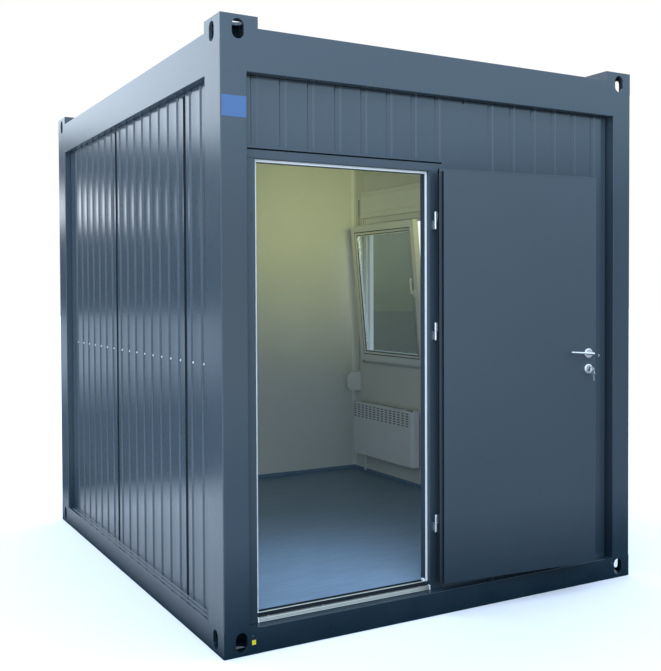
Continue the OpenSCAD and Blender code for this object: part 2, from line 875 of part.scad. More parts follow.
// Sash space: tilted inwards about the lower edge of its outer face
module tilted() {
    placed() on_side("right") translate([sash_y, sash_d + bar_gap, sash_z])
        rotate([-sash_tilt, 0, 0]) children();
}

module window_sash() {
    color("white") tilted() bar_ring(sash_w, sash_h, sash_bar, sash_t);
}

module window_glass() {
    inset = sash_bar + bar_gap;
    color([0.75, 0.85, 0.85, 0.4]) tilted() translate([inset, (sash_t - glass_t) / 2, inset])
        cube([sash_w - 2 * inset, glass_t, sash_h - 2 * inset]);
}

// Handle turned up: base on the near stile with a grip above it
module window_handle() {
    color("#d5d8d8") tilted() translate([sash_bar / 2, sash_t, sash_h / 2]) union() {
        translate([-handle_base_w / 2, 0, -handle_base_w])
            cube([handle_base_w, handle_base_t, 2 * handle_base_w]);
        rotate([-90, 0, 0]) cylinder(d = grip_w, h = grip_out);
        translate([-grip_w / 2, grip_out - grip_t, -grip_w / 2]) cube([grip_w, grip_t, grip_l]);
    }
}

module shutter_box() {
    color("white") placed() on_side("right")
        block([window_y, frame_out, window_top], [window_y1, wall_depth + shutter_out, shutter_top]);
}

// Guide rails on the outer face of the window frame and the shutter's last lath
module shutter_rails() {
    out = frame_out - guide_d;
    inner = guide_w + bar_gap;
    color("white") placed() on_side("right") {
        for (x = [window_y, window_y1 - guide_w])
            block([x, out, window_z], [x + guide_w, frame_out, window_top - bar_gap]);
        block([window_y + inner, out + lath_set, window_top - bar_gap - lath_h],
              [window_y1 - inner, frame_out, window_top - bar_gap]);
    }
}

// Outline with its two far corners rounded; x runs away from the wall
module rounded_end(depth, height, r) {
    square([depth - r, height]);
    translate([0, r]) square([depth, height - 2 * r]);
    for (y = [r, height - r]) translate([depth - r, y]) circle(r);
}

// Swivel winder on the wall and the strap that runs up beside the window
module strap_winder() {
    color("white") placed() on_side("right") {
        along(strap_y - winder_w / 2, strap_y + winder_w / 2)
            translate([wall_depth, winder_z]) rounded_end(winder_d, winder_h, winder_r);
        block([strap_y - strap_w / 2, wall_depth, winder_z + winder_h + bar_gap],
              [strap_y + strap_w / 2, wall_depth + strap_t, shutter_top - strap_drop]);
    }
}

// Convector with rounded front corners on two wall brackets
module heater() {
    color("white") placed() on_side("right") translate([heater_y, wall_depth, heater_z]) union() {
        translate([0, heater_off, 0]) linear_extrude(heater_h)
            mirror([1, -1]) rounded_end(heater_d, heater_w, heater_r);
        for (x = [bracket_w, heater_w - 2 * bracket_w])
            translate([x, 0, bracket_w]) cube([bracket_w, heater_off, heater_h - 2 * bracket_w]);
    }
}

corner_posts();
floor_rails();
roof_rails();
top_corner_fittings();
bottom_corner_fittings();
underfloor_sheet();
floor_joists();
floor_deck();
floor_covering();
roof_sheet();
roof_joists();
ceiling();
left_wall_front();
left_wall_middle();
left_wall_rear();
rear_wall_left();
rear_wall_right();
right_wall_front();
right_wall_middle();
right_wall_strips();
right_wall_window_panels();
front_wall_over_door();
front_wall_hinge_side();
front_wall_beside_door();
left_lining();
rear_lining();
right_lining();
front_lining();
wall_seals();
door_frame_left();
door_frame_right();
door_frame_head();
door_threshold();
door_seal();
door_leaf();
door_hinges_fixed();
door_hinges_moving();
door_lever();
door_lock_plates();
window_frame();
window_sash();
window_glass();
window_handle();
shutter_box();
shutter_rails();
strap_winder();
heater();
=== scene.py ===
# %% [markdown]
# # A portable site cabin
# A site cabin is a box of ribbed steel panels hung in a welded frame, small enough to lift whole.
# Its construction is drawn elsewhere at real size and packed as a frame of named pieces. This
# lesson loads that frame, gives each piece its finish, and adds what is fitted last on the real
# cabin: screws, plates, hinges, a lever, a window and a heater. No piece of the frame is moved.

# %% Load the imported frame
import json
import math
from functools import partial
from itertools import product

import bmesh
import bpy
from mathutils import Matrix, Vector
from mathutils.bvhtree import BVHTree


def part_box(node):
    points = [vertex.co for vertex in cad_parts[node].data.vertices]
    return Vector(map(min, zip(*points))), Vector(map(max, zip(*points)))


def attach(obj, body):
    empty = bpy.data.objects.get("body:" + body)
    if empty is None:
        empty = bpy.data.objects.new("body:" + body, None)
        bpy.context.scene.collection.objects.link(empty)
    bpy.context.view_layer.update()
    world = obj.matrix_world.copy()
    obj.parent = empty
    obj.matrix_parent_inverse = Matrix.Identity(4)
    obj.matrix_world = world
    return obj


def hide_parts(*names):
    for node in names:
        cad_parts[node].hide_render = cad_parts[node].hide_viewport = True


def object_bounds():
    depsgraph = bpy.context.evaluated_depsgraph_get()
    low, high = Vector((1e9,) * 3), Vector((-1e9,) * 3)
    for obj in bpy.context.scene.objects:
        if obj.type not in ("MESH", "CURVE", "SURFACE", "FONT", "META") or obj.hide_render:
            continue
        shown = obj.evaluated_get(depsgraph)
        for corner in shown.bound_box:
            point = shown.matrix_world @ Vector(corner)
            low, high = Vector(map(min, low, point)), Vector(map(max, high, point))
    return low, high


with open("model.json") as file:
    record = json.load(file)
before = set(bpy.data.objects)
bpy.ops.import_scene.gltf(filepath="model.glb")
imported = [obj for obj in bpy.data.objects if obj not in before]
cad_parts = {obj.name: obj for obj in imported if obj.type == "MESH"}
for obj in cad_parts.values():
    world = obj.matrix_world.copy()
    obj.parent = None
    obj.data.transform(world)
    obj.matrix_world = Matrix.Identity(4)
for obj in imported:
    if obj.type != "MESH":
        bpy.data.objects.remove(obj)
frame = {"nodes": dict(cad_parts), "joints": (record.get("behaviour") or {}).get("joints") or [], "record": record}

MM = 0.001
cad_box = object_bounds()
post_low, post_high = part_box("corner_posts")
slot_of = {part["node"]: part["material_slot"] for part in frame["record"]["subparts"]}
bodies = frame["record"]["behaviour"]["bodies"]
body_of = {node: body for body, nodes in bodies.items() for node in nodes}
cabin_w, cabin_l = ((post_high - post_low) / MM)[:2]
print("frame", round(cabin_w), "by", round(cabin_l), "mm,", len(slot_of), "nodes")

# %% [markdown]
# ## Where things are
# A fitter measures a wall along its length, in from the face of the frame, and up from its
# foot. Helpers that take those three measures in millimetres keep the numbers readable, and
# the four walls then share one way of writing. The door is measured closed, as it is when the
# holes are drilled, and a helper carries each point to where the door stands open.

# %% Wall measures
X, Y, Z = Vector((1, 0, 0)), Vector((0, 1, 0)), Vector((0, 0, 1))
SIDES = {
    "front": (Vector((post_low.x, post_low.y, 0)), X, Y),
    "rear": (Vector((post_high.x, post_high.y, 0)), -X, -Y),
    "left": (Vector((post_low.x, post_low.y, 0)), Y, X),
    "right": (Vector((post_high.x, post_low.y, 0)), Y, -X),
}


def at(side, along, inward, up):
    """A point from millimetres along a wall, in from its frame face, and up."""
    start, onward, into = SIDES[side]
    return start + (onward * along + into * inward + Z * up) * MM


def measured(side, point):
    """How far a point lies along a wall, in from its frame face, and up, in millimetres."""
    start, onward, into = SIDES[side]
    return tuple((point - start).dot(way) / MM for way in (onward, into, Z))


def wall_space(node, side="right"):
    """The nearest and the farthest corner of a node, in the measures of a wall."""
    corners = [measured(side, corner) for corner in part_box(node)]
    return tuple(map(min, *corners)), tuple(map(max, *corners))


front, right = partial(at, "front"), partial(at, "right")
print("rear corner of the right wall", [round(v, 3) for v in right(cabin_l, 0, 0)])

# %% Door measures
swing = next(joint for joint in frame["joints"] if joint["name"] == "door_swing")
hinge_line = Vector(swing["pos_m"])
opened = Matrix.Rotation(math.radians(swing["range_deg"][1]), 3, "Z")


def on_leaf(along, inward, up):
    """A point given on the closed door, carried to where the door stands open."""
    return hinge_line + opened @ (front(along, inward, up) - hinge_line)


print("door open", swing["range_deg"][1], "degrees")

# %% [markdown]
# ## Making pieces
# Steel that is folded, rolled or cast has no knife edges: every corner has a small radius, and
# that radius is what catches the light. The frame's solids have sharp edges, so each one is
# copied, its loose triangles are joined, and its sharp edges are rounded. A weighted normal
# keeps the large faces flat while the narrow round strips turn smoothly.

# %% Turn a bmesh into a finished piece
CREASE = math.radians(50)
TOUCHING = 0.01 * MM


def linked(name, data):
    """A new object with its data, put into the scene."""
    obj = bpy.data.objects.new(name, data)
    bpy.context.scene.collection.objects.link(obj)
    return obj


def evaluated_mesh(obj):
    """The plain mesh that an object's modifiers give."""
    graph = bpy.context.evaluated_depsgraph_get()
    return bpy.data.meshes.new_from_object(obj.evaluated_get(graph))


def flattened(obj):
    """Keep flat faces flat while the rounded strips between them turn smoothly."""
    weight = obj.modifiers.new("flat faces", "WEIGHTED_NORMAL")
    weight.keep_sharp = True
    mesh = evaluated_mesh(obj)
    obj.modifiers.clear()
    old, obj.data = obj.data, mesh
    bpy.data.meshes.remove(old)
    mesh.name = obj.name


def piece(name, bm, finish_of, body="cabin", stands_for=()):
    """Close a bmesh, turn its faces outwards and fit it as a piece that rides on one body."""
    bmesh.ops.remove_doubles(bm, verts=bm.verts, dist=TOUCHING)
    bmesh.ops.recalc_face_normals(bm, faces=bm.faces)
    for face in bm.faces:
        face.smooth = True
    for edge in bm.edges:
        edge.smooth = edge.calc_face_angle(0.0) < CREASE
    mesh = bpy.data.meshes.new(name)
    bm.to_mesh(mesh)
    bm.free()
    mesh.materials.append(finishes[finish_of])
    obj = linked(name, mesh)
    flattened(obj)
    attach(obj, body)
    if stands_for:
        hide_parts(*stands_for)
    print(name, len(obj.data.polygons), "faces")
    return obj


# %% Round the edges of a solid
SHARP = math.radians(28)
FLUSH = math.radians(0.2)


def merged(node):
    """A bmesh of a frame node, with loose triangles joined and flat faces made whole."""
    bm = bmesh.new()
    bm.from_mesh(frame["nodes"][node].data)
    bmesh.ops.remove_doubles(bm, verts=bm.verts, dist=TOUCHING)
    bmesh.ops.dissolve_limit(
        bm, angle_limit=FLUSH, verts=bm.verts, edges=bm.edges, delimit=set()
    )
    return bm


def bevelled(bm, edges, radius, rounds):
    """Round edges by a radius in millimetres."""
    bmesh.ops.bevel(
        bm, geom=list(edges), offset=radius * MM, offset_type="OFFSET", segments=rounds,
        profile=0.5, affect="EDGES", clamp_overlap=True,
    )


def sliced(bm, point, normal, **clear):
    """Cut a bmesh by a plane, and give back what the cut made."""
    everything = [*bm.verts, *bm.edges, *bm.faces]
    return bmesh.ops.bisect_plane(bm, geom=everything, plane_co=point, plane_no=normal, **clear)


def soften(bm, radius, chosen=lambda edge: True, rounds=3):
    """Round the sharp edges that were chosen by a radius in millimetres."""
    edges = [
        edge for edge in bm.edges
        if edge.is_manifold and edge.calc_face_angle() > SHARP and chosen(edge)
    ]
    bevelled(bm, edges, radius, rounds)


# %% Blocks, profiles and turned shapes
def bridged(bm, low, high):
    """Faces between two rings of points; a ring of a single point gives triangles."""
    count = max(len(low), len(high))
    faces = []
    for k in range(count):
        n = (k + 1) % count
        ring = [low[k % len(low)], low[n % len(low)], high[n % len(high)], high[k % len(high)]]
        faces.append(bm.faces.new(list(dict.fromkeys(ring))))
    return faces


def circled(count):
    """The cosine and sine of even steps round a circle."""
    angles = [2 * math.pi * k / count for k in range(count)]
    return [(math.cos(angle), math.sin(angle)) for angle in angles]


def add_block(bm, place, a, b, soft=0.0, rounds=2):
    """A block between two corners, with its edges rounded by soft millimetres."""
    span = list(zip(a, b))
    verts = {
        key: bm.verts.new(place(*(span[axis][key[axis]] for axis in range(3))))
        for key in product((0, 1), repeat=3)
    }
    faces = []
    for axis, end in product(range(3), (0, 1)):
        ring = [(0, 0), (1, 0), (1, 1), (0, 1)]
        keys = [tuple(pair[:axis]) + (end,) + tuple(pair[axis:]) for pair in ring]
        faces.append(bm.faces.new([verts[key] for key in keys]))
    bmesh.ops.recalc_face_normals(bm, faces=faces)
    if soft:
        bevelled(bm, {edge for face in faces for edge in face.edges}, soft, rounds)


def add_profile(bm, place, outline, start, end, soft=0.0):
    """A section drawn as (inward, up), run along a wall, with rounded ends if soft is given."""
    rings = [[bm.verts.new(place(u, v, z)) for v, z in outline] for u in (start, end)]
    ends = [bm.faces.new(rings[0]), bm.faces.new(rings[1][::-1])]
    bmesh.ops.recalc_face_normals(bm, faces=ends + bridged(bm, *rings))
    if soft:
        bevelled(bm, {edge for face in ends for edge in face.edges}, soft, 3)


def rounded(low, high, radius, steps=5):
    """The outline of a rectangle between two corners, with round corners."""
    points = []
    corners = (high[0], high[1]), (low[0], high[1]), (low[0], low[1]), (high[0], low[1])
    for k, (x, y) in enumerate(corners):
        centre_x = x - radius if x == high[0] else x + radius
        centre_y = y - radius if y == high[1] else y + radius
        for step in range(steps + 1):
            angle = math.pi / 2 * (k + step / steps)
            points.append((centre_x + radius * math.cos(angle), centre_y + radius * math.sin(angle)))
    return points


def add_plate(bm, place, low, high, radius, bottom, top, soft=0.4):
    """A plate with round corners on a wall: corners as (along, up), faces as depths."""
    add_profile(bm, lambda depth, along, up: place(along, depth, up),
                rounded(low, high, radius), bottom, top, soft)


def add_turned(bm, centre, axis, section, sides=32):
    """A turned shape: (radius, height) pairs in millimetres round an axis through a point."""
    turn = Vector(axis).to_track_quat("Z", "Y").to_matrix()
    rings = []
    for radius, height in section:
        rings.append([
            bm.verts.new(centre + turn @ Vector((radius * MM * x, radius * MM * y, height * MM)))
            for x, y in circled(sides)[:sides if radius > 0 else 1]
        ])
    for low, high in zip(rings, rings[1:]):
        bridged(bm, low, high)


def add_ring(bm, place, width, height, section):
    """A section of (inset, depth) points that runs round a rectangle with mitred corners."""
    rings = []
    for inset, depth in section:
        wide, high = width - inset, height - inset
        corners = ((inset, inset), (wide, inset), (wide, high), (inset, high))
        rings.append([bm.verts.new(place(x, depth, z)) for x, z in corners])
    for low, high in zip(rings, rings[1:] + rings[:1]):
        bridged(bm, low, high)


def add_bar(bm, path, wide, thick, up, sides=16, closed=False):
    """A bar along a path, with an oval section that may change from point to point."""
    rings = []
    count = len(path)
    for i, point in enumerate(path):
        before = path[(i - 1) % count] if closed else path[max(i - 1, 0)]
        after = path[(i + 1) % count] if closed else path[min(i + 1, count - 1)]
        ahead = (after - before).normalized()
        across = ahead.cross(up).normalized()
        over = across.cross(ahead)
        rings.append([
            bm.verts.new(point + across * (wide[i] * MM * x) + over * (thick[i] * MM * y))
            for x, y in circled(sides)
        ])
    for low, high in zip(rings, rings[1:] + rings[:1] * closed):
        bridged(bm, low, high)
    if not closed:
        bm.faces.new(rings[0][::-1])
        bm.faces.new(rings[-1])


print("helpers ready")

# %% [markdown]
# ## Shader groups
# Many finishes share an effect: a sprayed coat is never one even colour, boards and vinyl have a
# grain that runs one way, and metal shows the direction in which it was drawn. Each effect is a
# node group with named inputs, so a material only states its own values. The groups read Object
# coordinates, so the pattern stays on the piece from every side.

# %% Small helpers for node trees
def wire(tree, socket, value):
    """Link a socket to another, or set it to a plain value."""
    if isinstance(value, bpy.types.NodeSocket):
        tree.links.new(value, socket)
    else:
        socket.default_value = value


def calc(tree, operation, *values):
    """One Math node."""
    node = tree.nodes.new("ShaderNodeMath")
    node.operation = operation
    for socket, value in zip(node.inputs, values):
        wire(tree, socket, value)
    return node.outputs[0]


def noise(tree, place, scale, detail=2.0):
    """The grey value of a noise texture."""
    node = tree.nodes.new("ShaderNodeTexNoise")
    wire(tree, node.inputs["Vector"], place)
    wire(tree, node.inputs["Scale"], scale)
    wire(tree, node.inputs["Detail"], detail)
    return node.outputs[0]


def stretched(tree, place, stretch):
    """Coordinates scaled differently along each axis, for grain that runs one way."""
    node = tree.nodes.new("ShaderNodeVectorMath")
    node.operation = "MULTIPLY"
    wire(tree, node.inputs[0], place)
    wire(tree, node.inputs[1], stretch)
    return node.outputs[0]


def split(tree, place):
    """The X, Y and Z of a vector."""
    node = tree.nodes.new("ShaderNodeSeparateXYZ")
    wire(tree, node.inputs[0], place)
    return node.outputs


def mixed(tree, share, first, second):
    """A colour between two colours."""
    node = tree.nodes.new("ShaderNodeMix")
    node.data_type = "RGBA"
    wire(tree, node.inputs[0], share)
    wire(tree, node.inputs[6], first)
    wire(tree, node.inputs[7], second)
    return node.outputs[2]


def toned(tree, colour, value):
    """A colour made lighter or darker."""
    node = tree.nodes.new("ShaderNodeHueSaturation")
    wire(tree, node.inputs["Color"], colour)
    wire(tree, node.inputs["Value"], value)
    return node.outputs["Color"]


KINDS = {"Place": "NodeSocketVector", "Stretch": "NodeSocketVector",
         "Colour": "NodeSocketColor", "Second colour": "NodeSocketColor"}


def new_group(name, inputs):
    """An empty shader group with named inputs and the three outputs that all effects share."""
    tree = bpy.data.node_groups.new(name, "ShaderNodeTree")
    for label in inputs:
        kind = KINDS.get(label, "NodeSocketFloat")
        tree.interface.new_socket(label, in_out="INPUT", socket_type=kind)
    tree.interface.new_socket("Colour", in_out="OUTPUT", socket_type="NodeSocketColor")
    for label in ("Roughness", "Height"):
        tree.interface.new_socket(label, in_out="OUTPUT", socket_type="NodeSocketFloat")
    return tree, tree.nodes.new("NodeGroupInput").outputs, tree.nodes.new("NodeGroupOutput").inputs


# %% The sprayed coat
def sprayed_coat_group():
    """Paint with a broad change of tone, fine peel, slight dents and painted shade that darkens its foot."""
    tree, given, out = new_group(
        "sprayed coat",
        ["Place", "Colour", "Second colour", "Tone", "Gloss roughness", "Peel", "Dents", "Foot shade",
         "Foot shade height"],
    )
    place = given["Place"]
    broad = noise(tree, place, 1.3, 3.0)
    value = calc(tree, "MULTIPLY_ADD", calc(tree, "SUBTRACT", broad, 0.5), given["Tone"], 1.0)
    # Painted shade: the coat darkens towards its foot, up to the given height.
    up = split(tree, place)["Z"]
    near = calc(tree, "SUBTRACT", 1.0, calc(tree, "DIVIDE", up, given["Foot shade height"]))
    near = calc(tree, "MAXIMUM", near, 0.0)
    uneven = calc(tree, "MULTIPLY_ADD", noise(tree, place, 6.0, 4.0), 0.5, 0.75)
    foot_shade = calc(tree, "MULTIPLY", calc(tree, "MULTIPLY", near, uneven), given["Foot shade"])
    foot_shade = calc(tree, "MINIMUM", foot_shade, 1.0)
    wire(tree, out["Colour"], mixed(tree, foot_shade, toned(tree, given["Colour"], value), given["Second colour"]))
    speck = calc(tree, "SUBTRACT", noise(tree, place, 60.0, 3.0), 0.5)
    rough = calc(tree, "MULTIPLY_ADD", speck, 0.06, given["Gloss roughness"])
    wire(tree, out["Roughness"], calc(tree, "MULTIPLY_ADD", foot_shade, 0.08, rough))
    peel = calc(tree, "MULTIPLY", noise(tree, place, 160.0, 1.0), given["Peel"])
    dents = noise(tree, place, 2.4, 1.0)
    wire(tree, out["Height"], calc(tree, "MULTIPLY_ADD", dents, given["Dents"], peel))
    return tree


sprayed_coat = sprayed_coat_group()
print(sprayed_coat.name, len(sprayed_coat.nodes), "nodes")

# %% Grain that runs one way
def run_grain_group():
    """Two tones in long streaks, for boards, vinyl and drawn metal."""
    tree, given, out = new_group(
        "run grain",
        ["Place", "Stretch", "Colour", "Second colour", "Contrast", "Base roughness", "Rough spread",
         "Relief"],
    )
    place = stretched(tree, given["Place"], given["Stretch"])
    fine = noise(tree, place, 1.0, 5.0)
    broad = noise(tree, place, 0.22, 2.0)
    grain = calc(tree, "MULTIPLY_ADD", fine, 0.65, calc(tree, "MULTIPLY", broad, 0.35))
    sharper = calc(tree, "MULTIPLY_ADD", calc(tree, "SUBTRACT", grain, 0.5), given["Contrast"], 0.5)
    sharper = calc(tree, "MINIMUM", calc(tree, "MAXIMUM", sharper, 0.0), 1.0)
    wire(tree, out["Colour"], mixed(tree, sharper, given["Colour"], given["Second colour"]))
    spread = calc(tree, "MULTIPLY", calc(tree, "SUBTRACT", grain, 0.5), given["Rough spread"])
    wire(tree, out["Roughness"], calc(tree, "ADD", spread, given["Base roughness"]))
    wire(tree, out["Height"], calc(tree, "MULTIPLY", fine, given["Relief"]))
    return tree


run_grain = run_grain_group()
print(run_grain.name, len(run_grain.nodes), "nodes")

# %% Moulded and rubbery surfaces
def moulded_skin_group():
    """Plastic or rubber: a faint mottle, a fine skin and slightly uneven gloss."""
    tree, given, out = new_group(
        "moulded skin",
        ["Place", "Colour", "Second colour", "Mottle", "Base roughness", "Rough spread", "Skin"],
    )
    place = given["Place"]
    patches = calc(tree, "MULTIPLY", noise(tree, place, 7.0, 3.0), given["Mottle"])
    wire(tree, out["Colour"], mixed(tree, patches, given["Colour"], given["Second colour"]))
    uneven = calc(tree, "SUBTRACT", noise(tree, place, 34.0, 2.0), 0.5)
    rough = calc(tree, "MULTIPLY_ADD", uneven, given["Rough spread"], given["Base roughness"])
    wire(tree, out["Roughness"], rough)
    wire(tree, out["Height"], calc(tree, "MULTIPLY", noise(tree, place, 650.0, 1.0), given["Skin"]))
    return tree


moulded_skin = moulded_skin_group()
print(moulded_skin.name, len(moulded_skin.nodes), "nodes")

# %% A material from a group
def new_material(name):
    """A material with nodes, and its tree."""
    material = bpy.data.materials.new(name)
    material.use_nodes = True
    return material, material.node_tree


def finish(name, group, values, **own):
    """A material whose colour, roughness and relief come from one group; the rest is its own."""
    material, tree = new_material(name)
    shader = tree.nodes["Principled BSDF"]
    effect = tree.nodes.new("ShaderNodeGroup")
    effect.node_tree = group
    place = tree.nodes.new("ShaderNodeTexCoord").outputs["Object"]
    tree.links.new(place, effect.inputs["Place"])
    for label, value in values.items():
        effect.inputs[label].default_value = value
    bump = tree.nodes.new("ShaderNodeBump")
    bump.inputs["Distance"].default_value = MM
    tree.links.new(effect.outputs["Height"], bump.inputs["Height"])
    tree.links.new(effect.outputs["Colour"], shader.inputs["Base Color"])
    tree.links.new(effect.outputs["Roughness"], shader.inputs["Roughness"])
    tree.links.new(bump.outputs["Normal"], shader.inputs["Normal"])
    for label, value in own.items():
        shader.inputs[label.replace("_", " ")].default_value = value
    return material


def rgb(red, green, blue):
    """A colour with full alpha."""
    return (red, green, blue, 1.0)


# %% [markdown]
# ## The finishes
# The frame, panels and door wear one anthracite coat, but not quite alike: coil-coated sheet is
# smoother than a sprayed frame, and a door leaf is flatter than both. Three materials share the
# sprayed coat group and differ in gloss, dents and the painted shade at their foot. Indoors,
# boards are off-white, the vinyl is grey-blue with a long grain, its blue partly painted sky light
# from the doorway, and fittings are white plastic or satin metal.

# %% Paint materials
ANTHRACITE = rgb(0.042, 0.061, 0.079)
# The colour of the painted shade at the foot of the coats.
FOOT_SHADE = rgb(0.004, 0.018, 0.030)


def coat(name, gloss, dents, foot_shade):
    """One of the anthracite coats."""
    return finish(name, sprayed_coat, {
        "Colour": ANTHRACITE, "Second colour": FOOT_SHADE, "Tone": 0.16, "Gloss roughness": gloss,
        "Peel": 0.0008, "Dents": dents, "Foot shade": foot_shade, "Foot shade height": 0.5,
    })


# The last value of each coat is the strength of its painted shade at the foot.
paints = {
    "frame_paint": coat("frame_paint", 0.18, 0.5, 1.0),
    "panel_paint": coat("panel_paint", 0.14, 0.9, 0.8),
    "door_paint": coat("door_paint", 0.34, 0.6, 1.0),
}
print(len(paints), "coats")

# %% Indoor and metal materials
finishes = dict(paints)


def moulded(name, colour, second, mottle, rough, spread, skin, **own):
    """A finish of plastic, rubber or flat paint."""
    finishes[name] = finish(name, moulded_skin, {
        "Colour": rgb(*colour), "Second colour": rgb(*second), "Mottle": mottle,
        "Base roughness": rough, "Rough spread": spread, "Skin": skin,
    }, **own)


def grained(name, stretch, colour, second, contrast, rough, spread, relief, **own):
    """A finish with streaks that run one way."""
    finishes[name] = finish(name, run_grain, {
        "Stretch": stretch, "Colour": rgb(*colour), "Second colour": rgb(*second),
        "Contrast": contrast, "Base roughness": rough, "Rough spread": spread, "Relief": relief,
    }, **own)


moulded("galvanised", (0.30, 0.32, 0.33), (0.44, 0.46, 0.47), 0.9, 0.42, 0.25, 0.02, Metallic=0.9)
grained("deck_board", (40.0, 3.0, 40.0), (0.30, 0.20, 0.11), (0.50, 0.37, 0.22), 2.5, 0.6, 0.2, 0.2)
# The vinyl's blue is partly its own colour and partly painted sky light from the doorway.
grained("vinyl", (7.0, 40.0, 7.0), (0.120, 0.190, 0.275), (0.200, 0.295, 0.405), 2.2, 0.36, 0.18, 0.05)
moulded("lining_white", (0.70, 0.71, 0.66), (0.62, 0.63, 0.59), 0.5, 0.5, 0.12, 0.02)
moulded("black_seal", (0.010, 0.013, 0.016), (0.020, 0.024, 0.028), 0.8, 0.65, 0.2, 0.05,
        Specular_IOR_Level=0.0)
moulded("white_seal", (0.86, 0.88, 0.88), (0.72, 0.74, 0.74), 0.4, 0.45, 0.15, 0.03)
grained("threshold_metal", (12.0, 900.0, 900.0), (0.34, 0.35, 0.31), (0.48, 0.49, 0.44),
        1.6, 0.34, 0.2, 0.02, Metallic=0.85)
grained("bright_metal", (700.0, 700.0, 60.0), (0.70, 0.72, 0.74), (0.86, 0.88, 0.90),
        1.4, 0.28, 0.18, 0.01, Metallic=0.9)
moulded("white_plastic", (0.80, 0.81, 0.78), (0.72, 0.73, 0.71), 0.5, 0.32, 0.12, 0.01)
moulded("heater_paint", (0.74, 0.76, 0.77), (0.66, 0.68, 0.69), 0.5, 0.38, 0.12, 0.03)
# Black for dark parts such as the dial and screw heads; on slots, vents, holes and the keyhole it is painted shade
# inside the openings.
moulded("dark_parts_and_opening_shade", (0.03, 0.034, 0.038), (0.06, 0.065, 0.07), 0.7, 0.7, 0.2, 0.03)
moulded("plate_blue", (0.048, 0.120, 0.28), (0.062, 0.15, 0.33), 0.8, 0.3, 0.1, 0.01)
grained("strap_web", (900.0, 900.0, 260.0), (0.36, 0.38, 0.37), (0.52, 0.54, 0.52), 1.8, 0.75, 0.2, 0.3)
moulded("tag_yellow", (0.80, 0.66, 0.03), (0.70, 0.55, 0.02), 0.8, 0.4, 0.1, 0.01)
print(len(finishes), "finishes")

# %% Clear glass
def clear_glass():
    """Float glass: full transmission with plain values, and a faint uneven gloss."""
    material, tree = new_material("glass")
    shader = tree.nodes["Principled BSDF"]
    shader.inputs["Base Color"].default_value = rgb(0.93, 0.97, 0.95)
    shader.inputs["Transmission Weight"].default_value = 1.0
    shader.inputs["IOR"].default_value = 1.45
    place = tree.nodes.new("ShaderNodeTexCoord").outputs["Object"]
    film = calc(tree, "MULTIPLY", noise(tree, place, 5.0, 3.0), 0.03)
    tree.links.new(film, shader.inputs["Roughness"])
    return material


finishes["glass"] = clear_glass()
print("glass ready")

# %% [markdown]
# ## The frame
# Four posts, eight rails and eight corner castings are welded together and ground flush, so no
# seam shows on the outside. Only the free edges are rounded: the long edges of the rails and
# posts, the rims of the lifting holes, and the castings' outer corners. An edge that lies in a
# welded seam stays sharp, and the two faces meet there without a line. The posts are cut at the
# underside of the roof rail, because above it only the outer corner of a post is free.

# %% Which edges are free
rail_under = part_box("roof_rails")[0].z
seams = (post_low.z, post_high.z)
OUTER = ((0, post_high.x), (1, post_high.y))
UPRIGHT = 0.9
RAIL_LEAST, RIM_MOST = 300, 60
print("seams of the posts at", [round(seam, 3) for seam in seams])


def along_z(edge):
    """True for an upright edge."""
    a, b = (vert.co for vert in edge.verts)
    return abs(a.z - b.z) > (a - b).length * UPRIGHT


def lengthwise(edge):
    """True for a long level edge, such as a rail's."""
    a, b = (vert.co for vert in edge.verts)
    return abs(a.z - b.z) < MM and (a - b).length > RAIL_LEAST * MM


def in_plane(edge, axis, half):
    """True for an edge in an outer face of the cabin, on either side."""
    return all(abs(abs(vert.co[axis]) - half) < MM for vert in edge.verts)


def on_corner(edge):
    """True for an upright edge on an outer corner of the cabin."""
    return along_z(edge) and all(in_plane(edge, *face) for face in OUTER)


def free_casting_edge(edge):
    """True for the edges of a casting that no weld covers."""
    a, b = (vert.co for vert in edge.verts)
    if all(any(abs(point.z - seam) < MM for seam in seams) for point in (a, b)):
        return False
    outer = any(in_plane(edge, *face) for face in OUTER)
    ends = all(min(abs(point.z), abs(point.z - cad_box[1].z)) < MM for point in (a, b))
    short = (a - b).length < RIM_MOST * MM
    return on_corner(edge) or ends or (outer and short)


def dressed(node, radius, chosen=lambda edge: True, rounds=3):
    """A rounded copy of a frame node in the finish of its slot."""
    bm = merged(node)
    soften(bm, radius, chosen, rounds)
    return piece(node + "_finished", bm, slot_of[node], body_of[node], stands_for=(node,))


def cut_part(node, height, above):
    """The part of a node above or below a level cut, closed at the cut."""
    bm = merged(node)
    cut = sliced(bm, Z * height, Z, clear_inner=above, clear_outer=not above)
    rim = [item for item in cut["geom_cut"] if isinstance(item, bmesh.types.BMEdge)]
    bmesh.ops.holes_fill(bm, edges=rim)
    return bm


# %% Posts, rails and castings
POST_PARTS = {"corner_posts_finished": (False, along_z), "post_heads": (True, on_corner)}
for name, (above, chosen) in POST_PARTS.items():
    part = cut_part("corner_posts", rail_under, above)
    soften(part, 5.0, chosen)
    piece(name, part, "frame_paint", stands_for=() if above else ("corner_posts",))
dressed("roof_rails", 4.0, lengthwise)
dressed("floor_rails", 3.0, lengthwise)
for castings in ("top_corner_fittings", "bottom_corner_fittings"):
    dressed(castings, 5.0, free_casting_edge)

# %% [markdown]
# ## Walls, floor and roof
# The panels are rolled from coil-coated sheet: each groove has rounded shoulders that run from
# floor to roof, and the flat land between two grooves dishes in by a hair where it is glued to
# the foam. That hair is enough to break a reflection into one streak for every land. The front
# grooves are a little shallower, the drip strip ends above the door frame, and a painted filler
# closes the joint beside the door. Black strips cover the other joints: each stands for the seal
# and, across its width, paints the shade of the recessed joint. Boards and joists only get a small
# radius, so one loop dresses them all.

